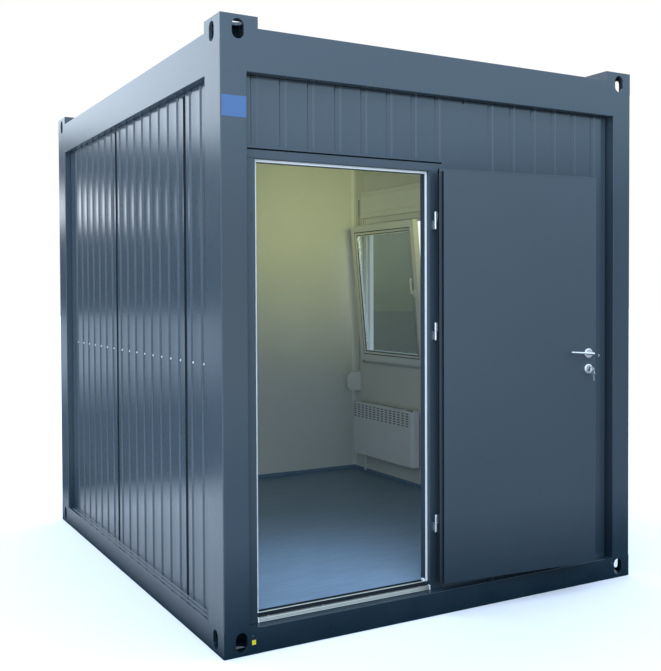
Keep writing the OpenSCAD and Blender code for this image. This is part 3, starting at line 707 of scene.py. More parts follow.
# %% Dished lands between the grooves
PRESSED, BOARD = 3.0, 0.8
DISH, CUTS = 1.0, 6
HEAD, NEAR_RAIL = 14, 40
GROOVE, SHALLOW = 9, 0.2
ON_FACE, OFF_FACE = 0.2, 0.3
FLAT = {"front": "front_wall_beside_door", "rear": "rear_wall_left",
        "left": "left_wall_front", "right": "right_wall_front"}
face_of = {side: wall_space(node, side)[0][1] for side, node in FLAT.items()}
print("panels lie in by", {side: round(face, 1) for side, face in face_of.items()})


def dished(bm, side):
    """Cut every land into strips, press its middle in, and run the sheet up behind the rail."""
    along_wall, into_wall = SIDES[side][1:]
    spots = [measured(side, vert.co) for vert in bm.verts]
    face = face_of[side]
    rims = sorted({round(along, 1) for along, inward, up in spots if abs(inward - face) < ON_FACE})
    lands = list(zip(rims[::2], rims[1::2]))
    for vert, (along, inward, up) in zip(bm.verts, spots):
        if side == "front" and OFF_FACE < inward - face < GROOVE:
            vert.co -= into_wall * (inward - face) * SHALLOW * MM
    top = max(up for along, inward, up in spots)
    if top * MM > rail_under - NEAR_RAIL * MM:
        for vert in bm.verts:
            vert.co.z += HEAD * MM * (vert.co.z > (top - 1) * MM)
    for low, high in lands:
        for cut in range(1, CUTS):
            sliced(bm, at(side, low + (high - low) * cut / CUTS, 0, 0), along_wall)
    for vert in bm.verts:
        along, inward, up = measured(side, vert.co)
        for low, high in lands:
            if abs(inward - face) < ON_FACE and low < along < high:
                share = 2 * (along - low) / (high - low) - 1
                vert.co += into_wall * DISH * MM * (1 - share ** 2)


# %% The drip strip over the door
DRIP_END = 2


def drip_ended(bm):
    """End the drip strip above the door frame: beyond it, the strip is laid flush with the panel."""
    end = wall_space("door_frame_right", "front")[1][0]
    face = face_of["front"]
    for along in (end, end + DRIP_END):
        sliced(bm, front(along, 0, 0), X)
    for vert in bm.verts:
        along, inward, up = measured("front", vert.co)
        if along > end + DRIP_END / 2 and inward < face:
            vert.co += Y * (face - inward) * MM


# %% Panels, boards and seals
panel_nodes = [node for node, slot in slot_of.items() if slot == "panel_paint"]
board_nodes = ["underfloor_sheet", "floor_joists", "floor_deck", "floor_covering", "roof_joists", "ceiling",
               "left_lining", "rear_lining", "right_lining", "front_lining", "door_seal"]
for panel in panel_nodes:
    bm = merged(panel)
    dished(bm, panel.split("_")[0])
    soften(bm, PRESSED, along_z)
    if panel == "front_wall_over_door":
        drip_ended(bm)
    piece(panel + "_finished", bm, "panel_paint", stands_for=(panel,))
for board in board_nodes:
    dressed(board, BOARD, rounds=2)
dressed("roof_sheet", 4.0, lengthwise)
dressed("wall_seals", 1.5, along_z, rounds=2)

# %% Black strips over the joints, widened with painted shade
STRIP = [(-13, -1.2), (13, -1.2), (13, 0.4), (4, 0.4), (4, 8), (-4, 8), (-4, 0.4), (-13, 0.4)]
JOINED = {"left": ("left_wall_front", "left_wall_middle", "left_wall_rear"),
          "rear": ("rear_wall_left", "rear_wall_right"),
          "right": ("right_wall_front", "right_wall_middle", "right_wall_strips")}
SHORTER = 2


def stood(side, up, along, inward):
    """A place on a wall for a section that is drawn in plan and run upwards."""
    return at(side, along, inward, up)


bm = bmesh.new()
# The strips are wider than the seals: their black stands for the seal, and across the extra width it paints the
# shade of the recessed joint.
for side, panels in JOINED.items():
    for pair in zip(panels, panels[1:]):
        first, second = sorted(wall_space(panel, side) for panel in pair)
        middle = (first[1][0] + second[0][0]) / 2
        outline = [(middle + along, first[0][1] + inward) for along, inward in STRIP]
        add_profile(bm, partial(stood, side), outline, first[0][2] + SHORTER, first[1][2] - SHORTER)
        print(side, "joint at", round(middle))
piece("joint_seal_and_shade_strips", bm, "black_seal")

# %% Painted filler beside the door
LAP, FILLER_D, BEHIND = 4, 9, 0.1
over_high = wall_space("front_wall_over_door", "front")[1]
beside_low = wall_space("front_wall_beside_door", "front")[0]
bm = bmesh.new()
add_block(bm, front, (over_high[0] - LAP, face_of["front"] + BEHIND, beside_low[2]),
          (beside_low[0] + LAP, face_of["front"] + FILLER_D, over_high[2]), 0.1)
piece("front_joint_filler", bm, "panel_paint")

# %% [markdown]
# ## The door frame and its threshold
# The frame is folded from sheet, with a rebate that the leaf closes into and a white seal on its
# ledge. The threshold is a drawn section: ribs on the nose, a gutter behind it, and plastic caps
# on its ends; black strips in the gutter paint its shade. The leaf has a black gasket let into its
# hinge edge, so that edge is set back by a hair. Caps, the leaf's gasket, the gutter's black strips,
# marks and striking plate are plain blocks with rounded edges.

# %% Door frame and threshold
for part in ("door_frame_left", "door_frame_right", "door_frame_head"):
    dressed(part, 2.0)
dressed("door_threshold", 0.8, rounds=2)
sill_low, sill_high = wall_space("door_threshold", "front")
print("threshold", [round(v) for v in sill_low], [round(v) for v in sill_high])

# %% Caps and seal plug
CAP = 5
NOSE_D, NOSE_H = 15, 23
PLUG_ALONG, PLUG_IN, PLUG_H = (1094, 1104), (74, 96), 12
bm = bmesh.new()
for start in (sill_low[0], sill_high[0] - CAP):
    add_block(bm, front, (start, sill_low[1] - 1, sill_low[2]),
              (start + CAP, sill_low[1] + NOSE_D, sill_low[2] + NOSE_H), 1.0)
add_block(bm, front, (PLUG_ALONG[0], PLUG_IN[0], sill_high[2]),
          (PLUG_ALONG[1], PLUG_IN[1], sill_high[2] + PLUG_H), 1.5)
piece("threshold_caps", bm, "white_seal")

# %% Painted shade in the gutter
GUTTER_IN, GUTTER_UP = 71, (17, 20)
LEDGE_FOOT, LEDGE_TOP, LEDGE_RISE = 72, 78.3, 19
LIP_DROP, PROUD, BURIED = 3, 0.7, 1
start, end = sill_low[0] + CAP, sill_high[0] - CAP
bm = bmesh.new()
# Black strips in the gutter and up the face of its ledge paint the gutter's shade; a black strip also tops the
# ledge.
add_block(bm, front, (start, sill_low[1] + NOSE_D, sill_low[2] + GUTTER_UP[0]),
          (end, GUTTER_IN, sill_low[2] + GUTTER_UP[1]), 0.6)
lip_up, foot_up = sill_high[2] - LIP_DROP, sill_low[2] + GUTTER_UP[1]
slope = (LEDGE_TOP - LEDGE_FOOT) / (sill_high[2] - sill_low[2] - LEDGE_RISE)
lip_in = LEDGE_TOP - LIP_DROP * slope
riser = [(LEDGE_FOOT - PROUD, foot_up), (lip_in - PROUD, lip_up),
         (lip_in + BURIED, lip_up), (LEDGE_FOOT + BURIED, foot_up)]
add_profile(bm, front, riser, start, end)
add_block(bm, front, (start, LEDGE_TOP + 7, sill_high[2] - 1),
          (end, sill_high[1] - 2, sill_high[2] + 0.3), 0.1)
piece("gutter_shade_strips", bm, "black_seal")

# %% Leaf with a gasket let into its hinge edge
LIP_EDGE, CORE_FAR = 1125, 1112
SUNK, INSET = 0.6, 3
leaf_low, leaf_high = [corner.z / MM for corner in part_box("door_leaf")]
step_in = on_leaf(-SUNK, 0, 0) - on_leaf(0, 0, 0)
bm = merged("door_leaf")
for vert in bm.verts:
    closed = hinge_line + opened.transposed() @ (vert.co - hinge_line)
    if measured("front", closed)[0] > CORE_FAR - 1:
        vert.co += step_in
soften(bm, 3.0)
piece("door_leaf_finished", bm, "door_paint", "door", stands_for=("door_leaf",))
STRIPS = ((LIP_EDGE, 25, 45, leaf_high), (CORE_FAR, 45, 65, leaf_high - 13))
bm = bmesh.new()
for edge, near, far, top in STRIPS:
    add_block(bm, on_leaf, (edge - 2, near + INSET, leaf_low + INSET), (edge, far - INSET, top - INSET), 0.3)
piece("leaf_gasket", bm, "black_seal", "door")

# %% Striking plate and its slots
STRIKE_UP = (1160, 1300)
STRIKE_IN, HOLE_IN = (53, 69), (56, 66)
JAMB_FACE, REBATE_X = 50, 183
BOLT_HOLES = ((1176, 1200), (1260, 1286))
JAMB_MARKS = (((162, 1909), (167, 1954), 2.4), ((148, 1376), (152, 1385), 1.9))
bm = bmesh.new()
add_block(bm, front, (REBATE_X - 1, STRIKE_IN[0], STRIKE_UP[0]),
          (REBATE_X + 0.8, STRIKE_IN[1], STRIKE_UP[1]), 0.5)
piece("striking_plate", bm, "bright_metal")
bm = bmesh.new()
# The bolt holes are dark plates that paint the shade inside them; the jamb marks are small dark plates.
for low, high in BOLT_HOLES:
    add_block(bm, front, (REBATE_X, HOLE_IN[0], low), (REBATE_X + 1.0, HOLE_IN[1], high), 0.3)
for low, high, radius in JAMB_MARKS:
    add_plate(bm, front, low, high, radius, JAMB_FACE - 0.5, JAMB_FACE + 0.5, 0.2)
piece("jamb_slots", bm, "dark_parts_and_opening_shade")

# %% [markdown]
# ## Lever, lock and hinges
# A lever set is a turned rosette on each face, a square spindle through the leaf and a bar on
# each end of it. Turned shapes are made by spinning a short section, and the bar is an oval
# section that tapers along a straight path. The construction has plainer shapes in their place,
# so each of these pieces stands for one of its nodes and moves with the same body.

# %% Measures on the leaf's two faces
LEAF_FACES = {"outside": (25, -1), "inside": (65, 1)}
LEVER_ALONG, LEVER_UP, LOCK_UP = 239, 1270, 1188


def on_face(face, along, out, up):
    """A point on the door: along the leaf, out from one of its faces, and up."""
    depth, way = LEAF_FACES[face]
    return on_leaf(along, depth + way * out, up)


def add_boss(bm, face, up, section):
    """A turned shape that stands on a face of the leaf, in line with the lever."""
    base = on_face(face, LEVER_ALONG, 0, up)
    add_turned(bm, base, on_face(face, LEVER_ALONG, 1, up) - base, section, 40)


# %% Rosettes and lock cylinder
ROSETTE = [(9, 0), (26, 0), (26, 5), (24.8, 7.2), (22, 8), (10.4, 8), (9, 7), (9, 0)]
CYLINDER = [(0, 0), (26, 0), (26, 5), (24.8, 7.2), (22, 8), (13, 8), (12.2, 7), (9.6, 7),
            (9.6, 11), (8.8, 12), (0, 12)]
LOCK_CORE = [(0, 11.8), (8.6, 11.8), (8.6, 12.3), (8.2, 12.6), (0, 12.6)]
LOCK_RING = [(9.9, 6.8), (12.0, 6.8), (12.0, 7.3), (9.9, 7.3), (9.9, 6.8)]
SLIT_HALF_W, SLIT_HALF_H = 1.4, 5
bm = bmesh.new()
for face in LEAF_FACES:
    add_boss(bm, face, LEVER_UP, ROSETTE)
    add_boss(bm, face, LOCK_UP, CYLINDER)
piece("door_rosettes", bm, "bright_metal", "door", stands_for=("door_lock_plates",))
bm = bmesh.new()
# The keyhole slit is a dark plate that paints the shade inside the keyhole.
add_plate(bm, partial(on_face, "outside"), (LEVER_ALONG - SLIT_HALF_W, LOCK_UP - SLIT_HALF_H),
          (LEVER_ALONG + SLIT_HALF_W, LOCK_UP + SLIT_HALF_H), 1.2, 11.6, 12.3, 0.1)
for section in (LOCK_CORE, LOCK_RING):
    add_boss(bm, "inside", LOCK_UP, section)
piece("keyhole", bm, "dark_parts_and_opening_shade", "door")

# %% Lever pair
STAND_OFF = 42
LEVER_RISE = 0.08
NECK = [(0, 1), (7.6, 1), (8.4, 9), (8.4, 20), (7.2, 30), (7.0, 38), (0, 38)]
LEVER_BAR = [(-9, 3.2), (-8.4, 5.2), (-6, 6.8), (0, 7.4), (30, 6.8), (70, 5.8),
             (118, 5.0), (130, 4.6), (136, 3.6), (138, 2.0)]


def add_lever(bm, face):
    """A neck and a straight bar that tapers and rises a little from the spindle to its tip."""
    add_boss(bm, face, LEVER_UP, NECK)
    path = [
        on_face(face, LEVER_ALONG + step, STAND_OFF, LEVER_UP + LEVER_RISE * step)
        for step, half in LEVER_BAR
    ]
    halves = [half for step, half in LEVER_BAR]
    add_bar(bm, path, halves, halves, Z)


bm = bmesh.new()
for face in LEAF_FACES:
    add_lever(bm, face)
SPINDLE, SPINDLE_IN = 4, (22, 68)
add_block(bm, on_leaf, (LEVER_ALONG - SPINDLE, SPINDLE_IN[0], LEVER_UP - SPINDLE),
          (LEVER_ALONG + SPINDLE, SPINDLE_IN[1], LEVER_UP + SPINDLE), 0.5)
piece("lever_pair", bm, "bright_metal", "lever", stands_for=("door_lever",))

# %% Keys on their ring
BOW = [(3.6, -1.2), (11.4, -1.2), (12, -0.7), (12, 0.7), (11.4, 1.2), (3.6, 1.2), (3.6, -1.2)]
BOW_OUT, RING_R, RING_STEPS = 37, 13, 28
KEY_HALF_T, KEY_HALF_W, KEY_OUT, KEY_DOWN = 1.1, 4, (10, 27), (38, 10)
HANG, NEARBY = math.radians(-125), 0.1
ring_up = LOCK_UP - RING_R + 1
inside = partial(on_face, "inside")


def ring_spot(angle):
    """How far along the leaf, and how far up, a point of the key ring is."""
    return LEVER_ALONG + RING_R * math.cos(angle), ring_up + RING_R * math.sin(angle)


def ring_point(angle):
    """A point on the ring that hangs from the key in the lock."""
    along, up = ring_spot(angle)
    return inside(along, BOW_OUT, up)


bm = bmesh.new()
add_turned(bm, inside(LEVER_ALONG, BOW_OUT, LOCK_UP), inside(1, 0, 0) - inside(0, 0, 0), BOW)
add_block(bm, inside, (LEVER_ALONG - KEY_HALF_T, KEY_OUT[0], LOCK_UP - KEY_HALF_W),
          (LEVER_ALONG + KEY_HALF_T, KEY_OUT[1], LOCK_UP + KEY_HALF_W), 0.4)
circle = [ring_point(2 * math.pi * k / RING_STEPS) for k in range(RING_STEPS)]
thin = [0.9] * RING_STEPS
add_bar(bm, circle, thin, thin, inside(0, 1, 0) - inside(0, 0, 0), 8, True)
add_turned(bm, ring_point(HANG), ring_point(HANG + NEARBY) - ring_point(HANG - NEARBY), BOW)
hung_along, hung_up = ring_spot(HANG)
add_block(bm, inside, (hung_along - KEY_HALF_T, BOW_OUT - KEY_HALF_W, hung_up - KEY_DOWN[0]),
          (hung_along + KEY_HALF_T, BOW_OUT + KEY_HALF_W, hung_up - KEY_DOWN[1]), 0.4)
piece("keys", bm, "bright_metal", "door")

# %% Lock edge
CORE_EDGE = 188
LOCK_BLOCKS = [(0.8, (47, 63), STRIKE_UP, 0, 0.5), (3.2, (51, 61), BOLT_HOLES[1], 2, 1.2),
               (1.6, (52, 60), BOLT_HOLES[0], 2, 0.6)]
bm = bmesh.new()
for out, (near, far), (low, high), slack, soft in LOCK_BLOCKS:
    add_block(bm, on_leaf, (CORE_EDGE - out, near, low + slack), (CORE_EDGE + 1, far, high - slack), soft)
piece("lock_edge", bm, "bright_metal", "door")

# %% Hinges with bearing rings and caps
HINGE_UPS = (452, 1402, 1947)
BEARING = [(6.6, -2.6), (7.2, -2.2), (7.2, -0.5), (6.6, -0.1), (6.3, -0.1), (6.3, -2.6), (6.6, -2.6)]
HINGE_CAP = [(0, 40.8), (6.4, 40.8), (6.4, 42.2), (5.0, 43.6), (0, 44.2)]
for half in ("door_hinges_fixed", "door_hinges_moving"):
    dressed(half, 0.8)
rings, caps = bmesh.new(), bmesh.new()
for up in HINGE_UPS:
    pin = Vector((hinge_line.x, hinge_line.y, up * MM))
    add_turned(rings, pin, Z, BEARING)
    add_turned(rings, pin, Z, [(radius, -height) for radius, height in HINGE_CAP])
    add_turned(caps, pin, Z, HINGE_CAP)
piece("hinge_bearings", rings, "bright_metal")
piece("hinge_caps", caps, "bright_metal", "door")

# %% [markdown]
# ## The window
# Window frames are welded from one plastic section, cut at 45 degrees. One section of a few
# points, run round a rectangle with mitred corners, gives frame, sash, gaskets and spacer alike.
# The sash leans into the room about its lower edge, so a helper carries points from the upright
# sash to the leaning one.

# %% Window frame and leaning sash
TILT = math.radians(5.2)
SASH_IN, SASH_W, SASH_H, SASH_GAP = 28, 889, 1062, 0.3
window_low, window_high = wall_space("window_frame")
window_w, window_d, window_h = (high - low for low, high in zip(window_low, window_high))
FRAME_SECTION = [(0, 1), (0, 51), (1, 52), (40, 52), (42, 50), (42, 31), (43, 30), (58, 30), (60, 28),
                 (60, 2), (58, 0), (1, 0)]
SASH_SECTION = [(0, 3), (0, 41), (3, 44), (49, 44), (50, 43), (50, 39), (56, 39), (56, 42), (58, 43.4),
                (68, 39), (74, 34.4), (74, 9.6), (70, 6), (60, 0.6), (58, 0), (3, 0)]


def in_window(x, depth, z):
    """A point in the window: along from its near side, in from its outer face, up from its foot."""
    return right(window_low[0] + x, window_low[1] + depth, window_low[2] + z)


def on_sash(x, depth, z):
    """A point on the sash, which leans into the room about the lower edge of its outer face."""
    lean = window_d + SASH_GAP + depth * math.cos(TILT) + z * math.sin(TILT)
    return in_window(SASH_IN + x, lean, SASH_IN - depth * math.sin(TILT) + z * math.cos(TILT))


bm = bmesh.new()
add_ring(bm, in_window, window_w, window_h, FRAME_SECTION)
piece("window_frame_profile", bm, "white_plastic", stands_for=("window_frame",))
bm = bmesh.new()
add_ring(bm, on_sash, SASH_W, SASH_H, SASH_SECTION)
piece("window_sash_profile", bm, "white_plastic", stands_for=("window_sash",))

# %% Glass, spacer and gaskets
GLASS_IN, PANE, PANE_DEPTHS = 74.3, 4, (10, 30)
SPACER = [(GLASS_IN, 14.2), (GLASS_IN, 29.8), (83, 29.8), (83, 14.2)]
GASKETS = [[(50.3, 39.1), (50.3, 42.4), (53, 43), (55.7, 42.4), (55.7, 39.1)],
           [(71.5, 36.2), (73, 37), (76.4, 35.4), (76.4, 34.2), (74.1, 34.2)],
           [(72, 7.6), (74.1, 9.8), (76.4, 9.8), (76.4, 8.6), (73.6, 6.6)]]
bm = bmesh.new()
for depth in PANE_DEPTHS:
    add_block(bm, on_sash, (GLASS_IN, depth, GLASS_IN),
              (SASH_W - GLASS_IN, depth + PANE, SASH_H - GLASS_IN), 0.3, 1)
piece("window_panes", bm, "glass", stands_for=("window_glass",))
bm = bmesh.new()
add_ring(bm, on_sash, SASH_W, SASH_H, SPACER)
piece("pane_spacer", bm, "bright_metal")
bm = bmesh.new()
for section in GASKETS:
    add_ring(bm, on_sash, SASH_W, SASH_H, section)
piece("window_gaskets", bm, "black_seal")

# %% Window handle and stays
HANDLE_X, HANDLE_Z, SASH_FACE = 37, 531, 44
BEND, BEND_STEPS = 14, 5
ROSE_HALF_W, ROSE_HALF_H, ROSE_D = 15, 30, 10
NECK_OUT = SASH_FACE + 18
GRIP = [(15.5, 34), (16.5, 64), (15.5, 92), (13, 110), (12, 114)]
bm = bmesh.new()
add_plate(bm, on_sash, (HANDLE_X - ROSE_HALF_W, HANDLE_Z - ROSE_HALF_H),
          (HANDLE_X + ROSE_HALF_W, HANDLE_Z + ROSE_HALF_H), 8, SASH_FACE, SASH_FACE + ROSE_D, 2.5)
grip = [(SASH_FACE + 8, 0), (NECK_OUT, 0)]
for step in range(1, BEND_STEPS + 1):
    angle = math.radians(90 / BEND_STEPS * step)
    grip.append((NECK_OUT + BEND * math.sin(angle), BEND * (1 - math.cos(angle))))
grip += [(NECK_OUT + out, rise) for out, rise in GRIP]
path = [on_sash(HANDLE_X, depth, HANDLE_Z + rise) for depth, rise in grip]
wide = [9.0] * 3 + [9.5] * (len(grip) - 5) + [8.0, 5.0]
thick = [6.0] * (len(grip) - 1) + [3.5]
add_bar(bm, path, wide, thick, X, 20)
piece("window_handle_curved", bm, "white_plastic", stands_for=("window_handle",))
bm = bmesh.new()
STAY_IN, STAY_FRAME, STAY_SASH = 110, (51, 1102), (10, 1061)
for x in (STAY_IN, SASH_W - STAY_IN):
    ends = [in_window(SASH_IN + x, *STAY_FRAME), on_sash(x, *STAY_SASH)]
    add_bar(bm, ends, [6, 6], [1.5, 1.5], Y, 12)
piece("window_stays", bm, "bright_metal")

# %% [markdown]
# ## Roller shutter box, strap and heater
# The shutter's box hangs over the window inside the room, and a flat strap runs from it down to
# a swivel winder. Below hangs a convector with round corners and rows of small vents. Box and
# winder are drawn as a section and run along the wall. The vents repeat, so they are left to
# Geometry Nodes further down.

# %% Shutter box and rails
box_low, box_high = wall_space("shutter_box")
room, back = box_high[1], box_low[1]
GROOVE_LINES = (168, 184)
foot = [(0, 0), (-6, 0), (-2, 4), (-2, 36), (-5, 37), (-5, 40), (0, 41)]
lines = [point for up in GROOVE_LINES for point in ((0, up), (-4, up + 1), (-4, up + 4), (0, up + 5))]
face = [(room + out, box_low[2] + up) for out, up in foot[1:] + lines]
top = [(room, box_high[2] - 2), (room - 2, box_high[2]), (back, box_high[2])]
section = [(back, box_low[2])] + face + top
bm = bmesh.new()
add_profile(bm, right, section, box_low[0], box_high[0])
piece("shutter_box_cover", bm, "white_plastic", stands_for=("shutter_box",))
dressed("shutter_rails", 1.5)

# %% Strap and winder
LINING = 110
STRAP_ALONG, STRAP_W, STRAP_TOP = 2792, 14, 2320
WINDER_UP, WINDER_D, WINDER_H, WINDER_W, WINDER_R = 802, 118, 148, 28, 42
LUG, LUG_HALF = 9, 12
GUIDE_HALF, GUIDE_UP = 16, (2185, 2350)
SLOT_HALF, SLOT_UP = 5, (2200, 2336)


def round_nosed(start, low, depth, height, radius, steps=8):
    """A section from the wall into the room with its two far corners rounded."""
    points = [(start, low)]
    for centre_z, turn in ((low + radius, -90), (low + height - radius, 0)):
        for step in range(steps + 1):
            angle = math.radians(turn + 90 * step / steps)
            nose = start + depth - radius + radius * math.cos(angle)
            points.append((nose, centre_z + radius * math.sin(angle)))
    return points + [(start, low + height)]


bm = bmesh.new()
add_profile(bm, right, round_nosed(LINING, WINDER_UP, WINDER_D, WINDER_H, WINDER_R),
            STRAP_ALONG - WINDER_W / 2, STRAP_ALONG + WINDER_W / 2, 3.0)
for up in (WINDER_UP - LUG, WINDER_UP + WINDER_H):
    add_block(bm, right, (STRAP_ALONG - LUG_HALF, LINING, up),
              (STRAP_ALONG + LUG_HALF, LINING + LUG, up + LUG), 2.0)
add_plate(bm, right, (STRAP_ALONG - GUIDE_HALF, GUIDE_UP[0]),
          (STRAP_ALONG + GUIDE_HALF, GUIDE_UP[1]), 5, LINING, LINING + 3, 0.8)
piece("winder_case", bm, "white_plastic", stands_for=("strap_winder",))
bm = bmesh.new()
add_block(bm, right, (STRAP_ALONG - STRAP_W / 2, LINING + 3, WINDER_UP + WINDER_H - 2),
          (STRAP_ALONG + STRAP_W / 2, LINING + 5, STRAP_TOP), 0.6)
piece("shutter_strap", bm, "strap_web")
bm = bmesh.new()
# The strap's slot is a dark plate that paints the shade inside it.
add_plate(bm, right, (STRAP_ALONG - SLOT_HALF, SLOT_UP[0]),
          (STRAP_ALONG + SLOT_HALF, SLOT_UP[1]), 4.5, LINING + 2, LINING + 5.6, 0.3)
piece("strap_slot_shade", bm, "dark_parts_and_opening_shade")

# %% Heater case
heater_low, heater_high = wall_space("heater")
CASE_D, CASE_R = 62, 24
case_back = heater_high[1] - CASE_D


def plan_nosed(start, end):
    """The heater's plan: a flat back and two round front corners."""
    plan = round_nosed(case_back, start, CASE_D, end - start, CASE_R)
    return [(along, inward) for inward, along in plan]


bm = bmesh.new()
add_profile(bm, partial(stood, "right"), plan_nosed(heater_low[0], heater_high[0]),
            heater_low[2], heater_high[2], 4.0)
BRACKET = 70
for along in (heater_low[0] + BRACKET, heater_high[0] - 2 * BRACKET):
    add_block(bm, right, (along, LINING, heater_low[2] + BRACKET),
              (along + BRACKET, case_back + 1, heater_high[2] - BRACKET), 2.0)
piece("heater_case", bm, "heater_paint", stands_for=("heater",))

# %% Slots in the heater's top
TOP_SLOTS = (((heater_low[0] + 40, 16), (heater_low[0] + 120, 40), 8, 0.8, 0.3),
             ((heater_low[0] + 180, 10), (heater_high[0] - 60, 22), 5, 0.6, 0.2))


def on_top(along, rise, inward):
    """A place on the heater's top: along the wall, up from the top, and in from the case's back."""
    return right(along, case_back + inward, heater_high[2] + rise)


bm = bmesh.new()
# Each slot is a dark plate that paints the shade inside it.
for low, high, radius, proud, soft in TOP_SLOTS:
    add_plate(bm, on_top, low, high, radius, -1, proud, soft)
piece("heater_top_slot_shade", bm, "dark_parts_and_opening_shade")

# %% Cable duct and corner trim
DUCT_ALONG, DUCT_FOOT, DUCT_W, DUCT_D = 2690, 168, 18, 12
TRIM_W, TRIM_T, TRIM_UP = 26, 2, (165, 2619)
bm = bmesh.new()
add_block(bm, right, (DUCT_ALONG, LINING, DUCT_FOOT),
          (DUCT_ALONG + DUCT_W, LINING + DUCT_D, heater_low[2] + 30), 1.5)
corner = cabin_l - LINING
TRIM = [(0, 0), (-TRIM_W, 0), (-TRIM_W, TRIM_T), (-TRIM_T, TRIM_T), (-TRIM_T, TRIM_W), (0, TRIM_W)]
trim = [(corner + along, LINING + out) for along, out in TRIM]
for wall in ("left", "right"):
    add_profile(bm, partial(stood, wall), trim, *TRIM_UP)
piece("wall_trim", bm, "white_plastic")

# %% [markdown]
# ## Plates and tags
# A plate on the front post and a small tag on the lower casting are bare, with no words on them.
# Both are thin sheet with round corners, so an outline with four arcs is given a thickness of a
# millimetre or so and laid on the face that carries it.

# %% Bare plate and tag
PLATES = {"post_plate": ((6, 2357), (121, 2449), 3.0, "plate_blue"),
          "casting_tag": ((132, 43), (151, 64), 2.0, "tag_yellow")}
PLATE_FRONT, PLATE_BACK = -0.9, 0.4
for name, (low, high, radius, colour) in PLATES.items():
    bm = bmesh.new()
    add_plate(bm, front, low, high, radius, PLATE_FRONT, PLATE_BACK, 0.3)
    piece(name, bm, colour)

# %% [markdown]
# ## Fasteners and vents with Geometry Nodes
# Screws repeat by the dozen: one in every groove of a wall, and more along the roof, on the
# threshold and on the heater. Placing each by hand would be slow, and linked copies get lost. A
# tree that puts one small screw on every point of a host, turned to the way the host's point
# faces, makes them all. A second tree sets out the heater's vents in rows and columns.

# %% Helpers for geometry trees
def new_tree(name, inputs):
    """An empty geometry tree with named inputs."""
    tree = bpy.data.node_groups.new(name, "GeometryNodeTree")
    tree.interface.new_socket("Geometry", in_out="INPUT", socket_type="NodeSocketGeometry")
    for label, kind in inputs.items():
        tree.interface.new_socket(label, in_out="INPUT", socket_type="NodeSocket" + kind)
    tree.interface.new_socket("Geometry", in_out="OUTPUT", socket_type="NodeSocketGeometry")
    return tree, tree.nodes.new("NodeGroupInput").outputs, tree.nodes.new("NodeGroupOutput").inputs


def geo(tree, kind, **links):
    """A geometry node whose inputs are linked or set by name, with underscores for spaces."""
    node = tree.nodes.new(kind)
    for label, value in links.items():
        wire(tree, node.inputs[label.replace("_", " ")], value)
    return node


def joined(tree, *parts):
    """All parts in one geometry."""
    node = tree.nodes.new("GeometryNodeJoinGeometry")
    for part in parts:
        tree.links.new(part, node.inputs[0])
    return node.outputs[0]


def scattered(tree, given, out, parts, **where):
    """Put the joined parts on points, make them plain mesh, and give them their finish."""
    copies = geo(tree, "GeometryNodeInstanceOnPoints", Instance=joined(tree, *parts), **where)
    plain = geo(tree, "GeometryNodeRealizeInstances", Geometry=copies.outputs[0])
    painted = geo(tree, "GeometryNodeSetMaterial", Geometry=plain.outputs[0], Material=given["Finish"])
    tree.links.new(painted.outputs[0], out["Geometry"])
    return tree


def grown(tree, settings, points):
    """Run a tree on a host of (place, facing) points and return the result as a bmesh."""
    host = bpy.data.meshes.new("host")
    host.from_pydata([place for place, facing in points], [], [])
    facings = host.attributes.new("facing", "FLOAT_VECTOR", "POINT")
    for item, (place, facing) in zip(facings.data, points):
        item.vector = facing
    obj = linked("host", host)
    modifier = obj.modifiers.new("grow", "NODES")
    modifier.node_group = tree
    sockets = {item.name: item.identifier for item in tree.interface.items_tree if item.in_out == "INPUT"}
    for label, value in settings.items():
        modifier[sockets[label]] = value
    mesh = evaluated_mesh(obj)
    bm = bmesh.new()
    bm.from_mesh(mesh)
    bpy.data.objects.remove(obj)
    for used in (host, mesh):
        bpy.data.meshes.remove(used)
    return bm


# %% Screw tree
def screw_tree():
    """A washer and a tapered head on every point of the host, turned to its facing."""
    tree, given, out = new_tree("screws", {
        "Washer radius": "Float", "Washer height": "Float", "Head radius": "Float",
        "Head height": "Float", "Finish": "Material",
    })
    half = calc(tree, "MULTIPLY", given["Washer height"], 0.5)
    lift = geo(tree, "ShaderNodeCombineXYZ", Z=half).outputs[0]
    washer = geo(tree, "GeometryNodeMeshCylinder", Vertices=14, Radius=given["Washer radius"],
                 Depth=given["Washer height"])
    washer = geo(tree, "GeometryNodeTransform", Geometry=washer.outputs["Mesh"], Translation=lift)
    top = calc(tree, "MULTIPLY", given["Head radius"], 0.72)
    head = geo(tree, "GeometryNodeMeshCone", Vertices=12, Radius_Top=top, Radius_Bottom=given["Head radius"],
               Depth=given["Head height"])
    stand = geo(tree, "ShaderNodeCombineXYZ", Z=given["Washer height"]).outputs[0]
    head = geo(tree, "GeometryNodeTransform", Geometry=head.outputs["Mesh"], Translation=stand)
    facing = tree.nodes.new("GeometryNodeInputNamedAttribute")
    facing.data_type = "FLOAT_VECTOR"
    facing.inputs["Name"].default_value = "facing"
    turn = tree.nodes.new("FunctionNodeAlignRotationToVector")
    turn.axis = "Z"
    tree.links.new(facing.outputs["Attribute"], turn.inputs["Vector"])
    return scattered(tree, given, out, (washer.outputs[0], head.outputs[0]),
                     Points=given["Geometry"], Rotation=turn.outputs[0])


screws = screw_tree()
print(screws.name, len(screws.nodes), "nodes")


def screwed(name, points, sizes, finish_of, body="cabin"):
    """A piece of screws: sizes are washer radius and height, head radius and height."""
    labels = ("Washer radius", "Washer height", "Head radius", "Head height")
    settings = {label: size * MM for label, size in zip(labels, sizes)}
    settings["Finish"] = finishes[finish_of]
    return piece(name, grown(screws, settings, points), finish_of, body)


# %% Wall screws
WALL_SCREW = (6.5, 1.2, 4.2, 3.2)
SCREW_UP = 1266
RIBLESS = "right_wall_strips"
LONE_SCREW = (2252, 50, 1241)


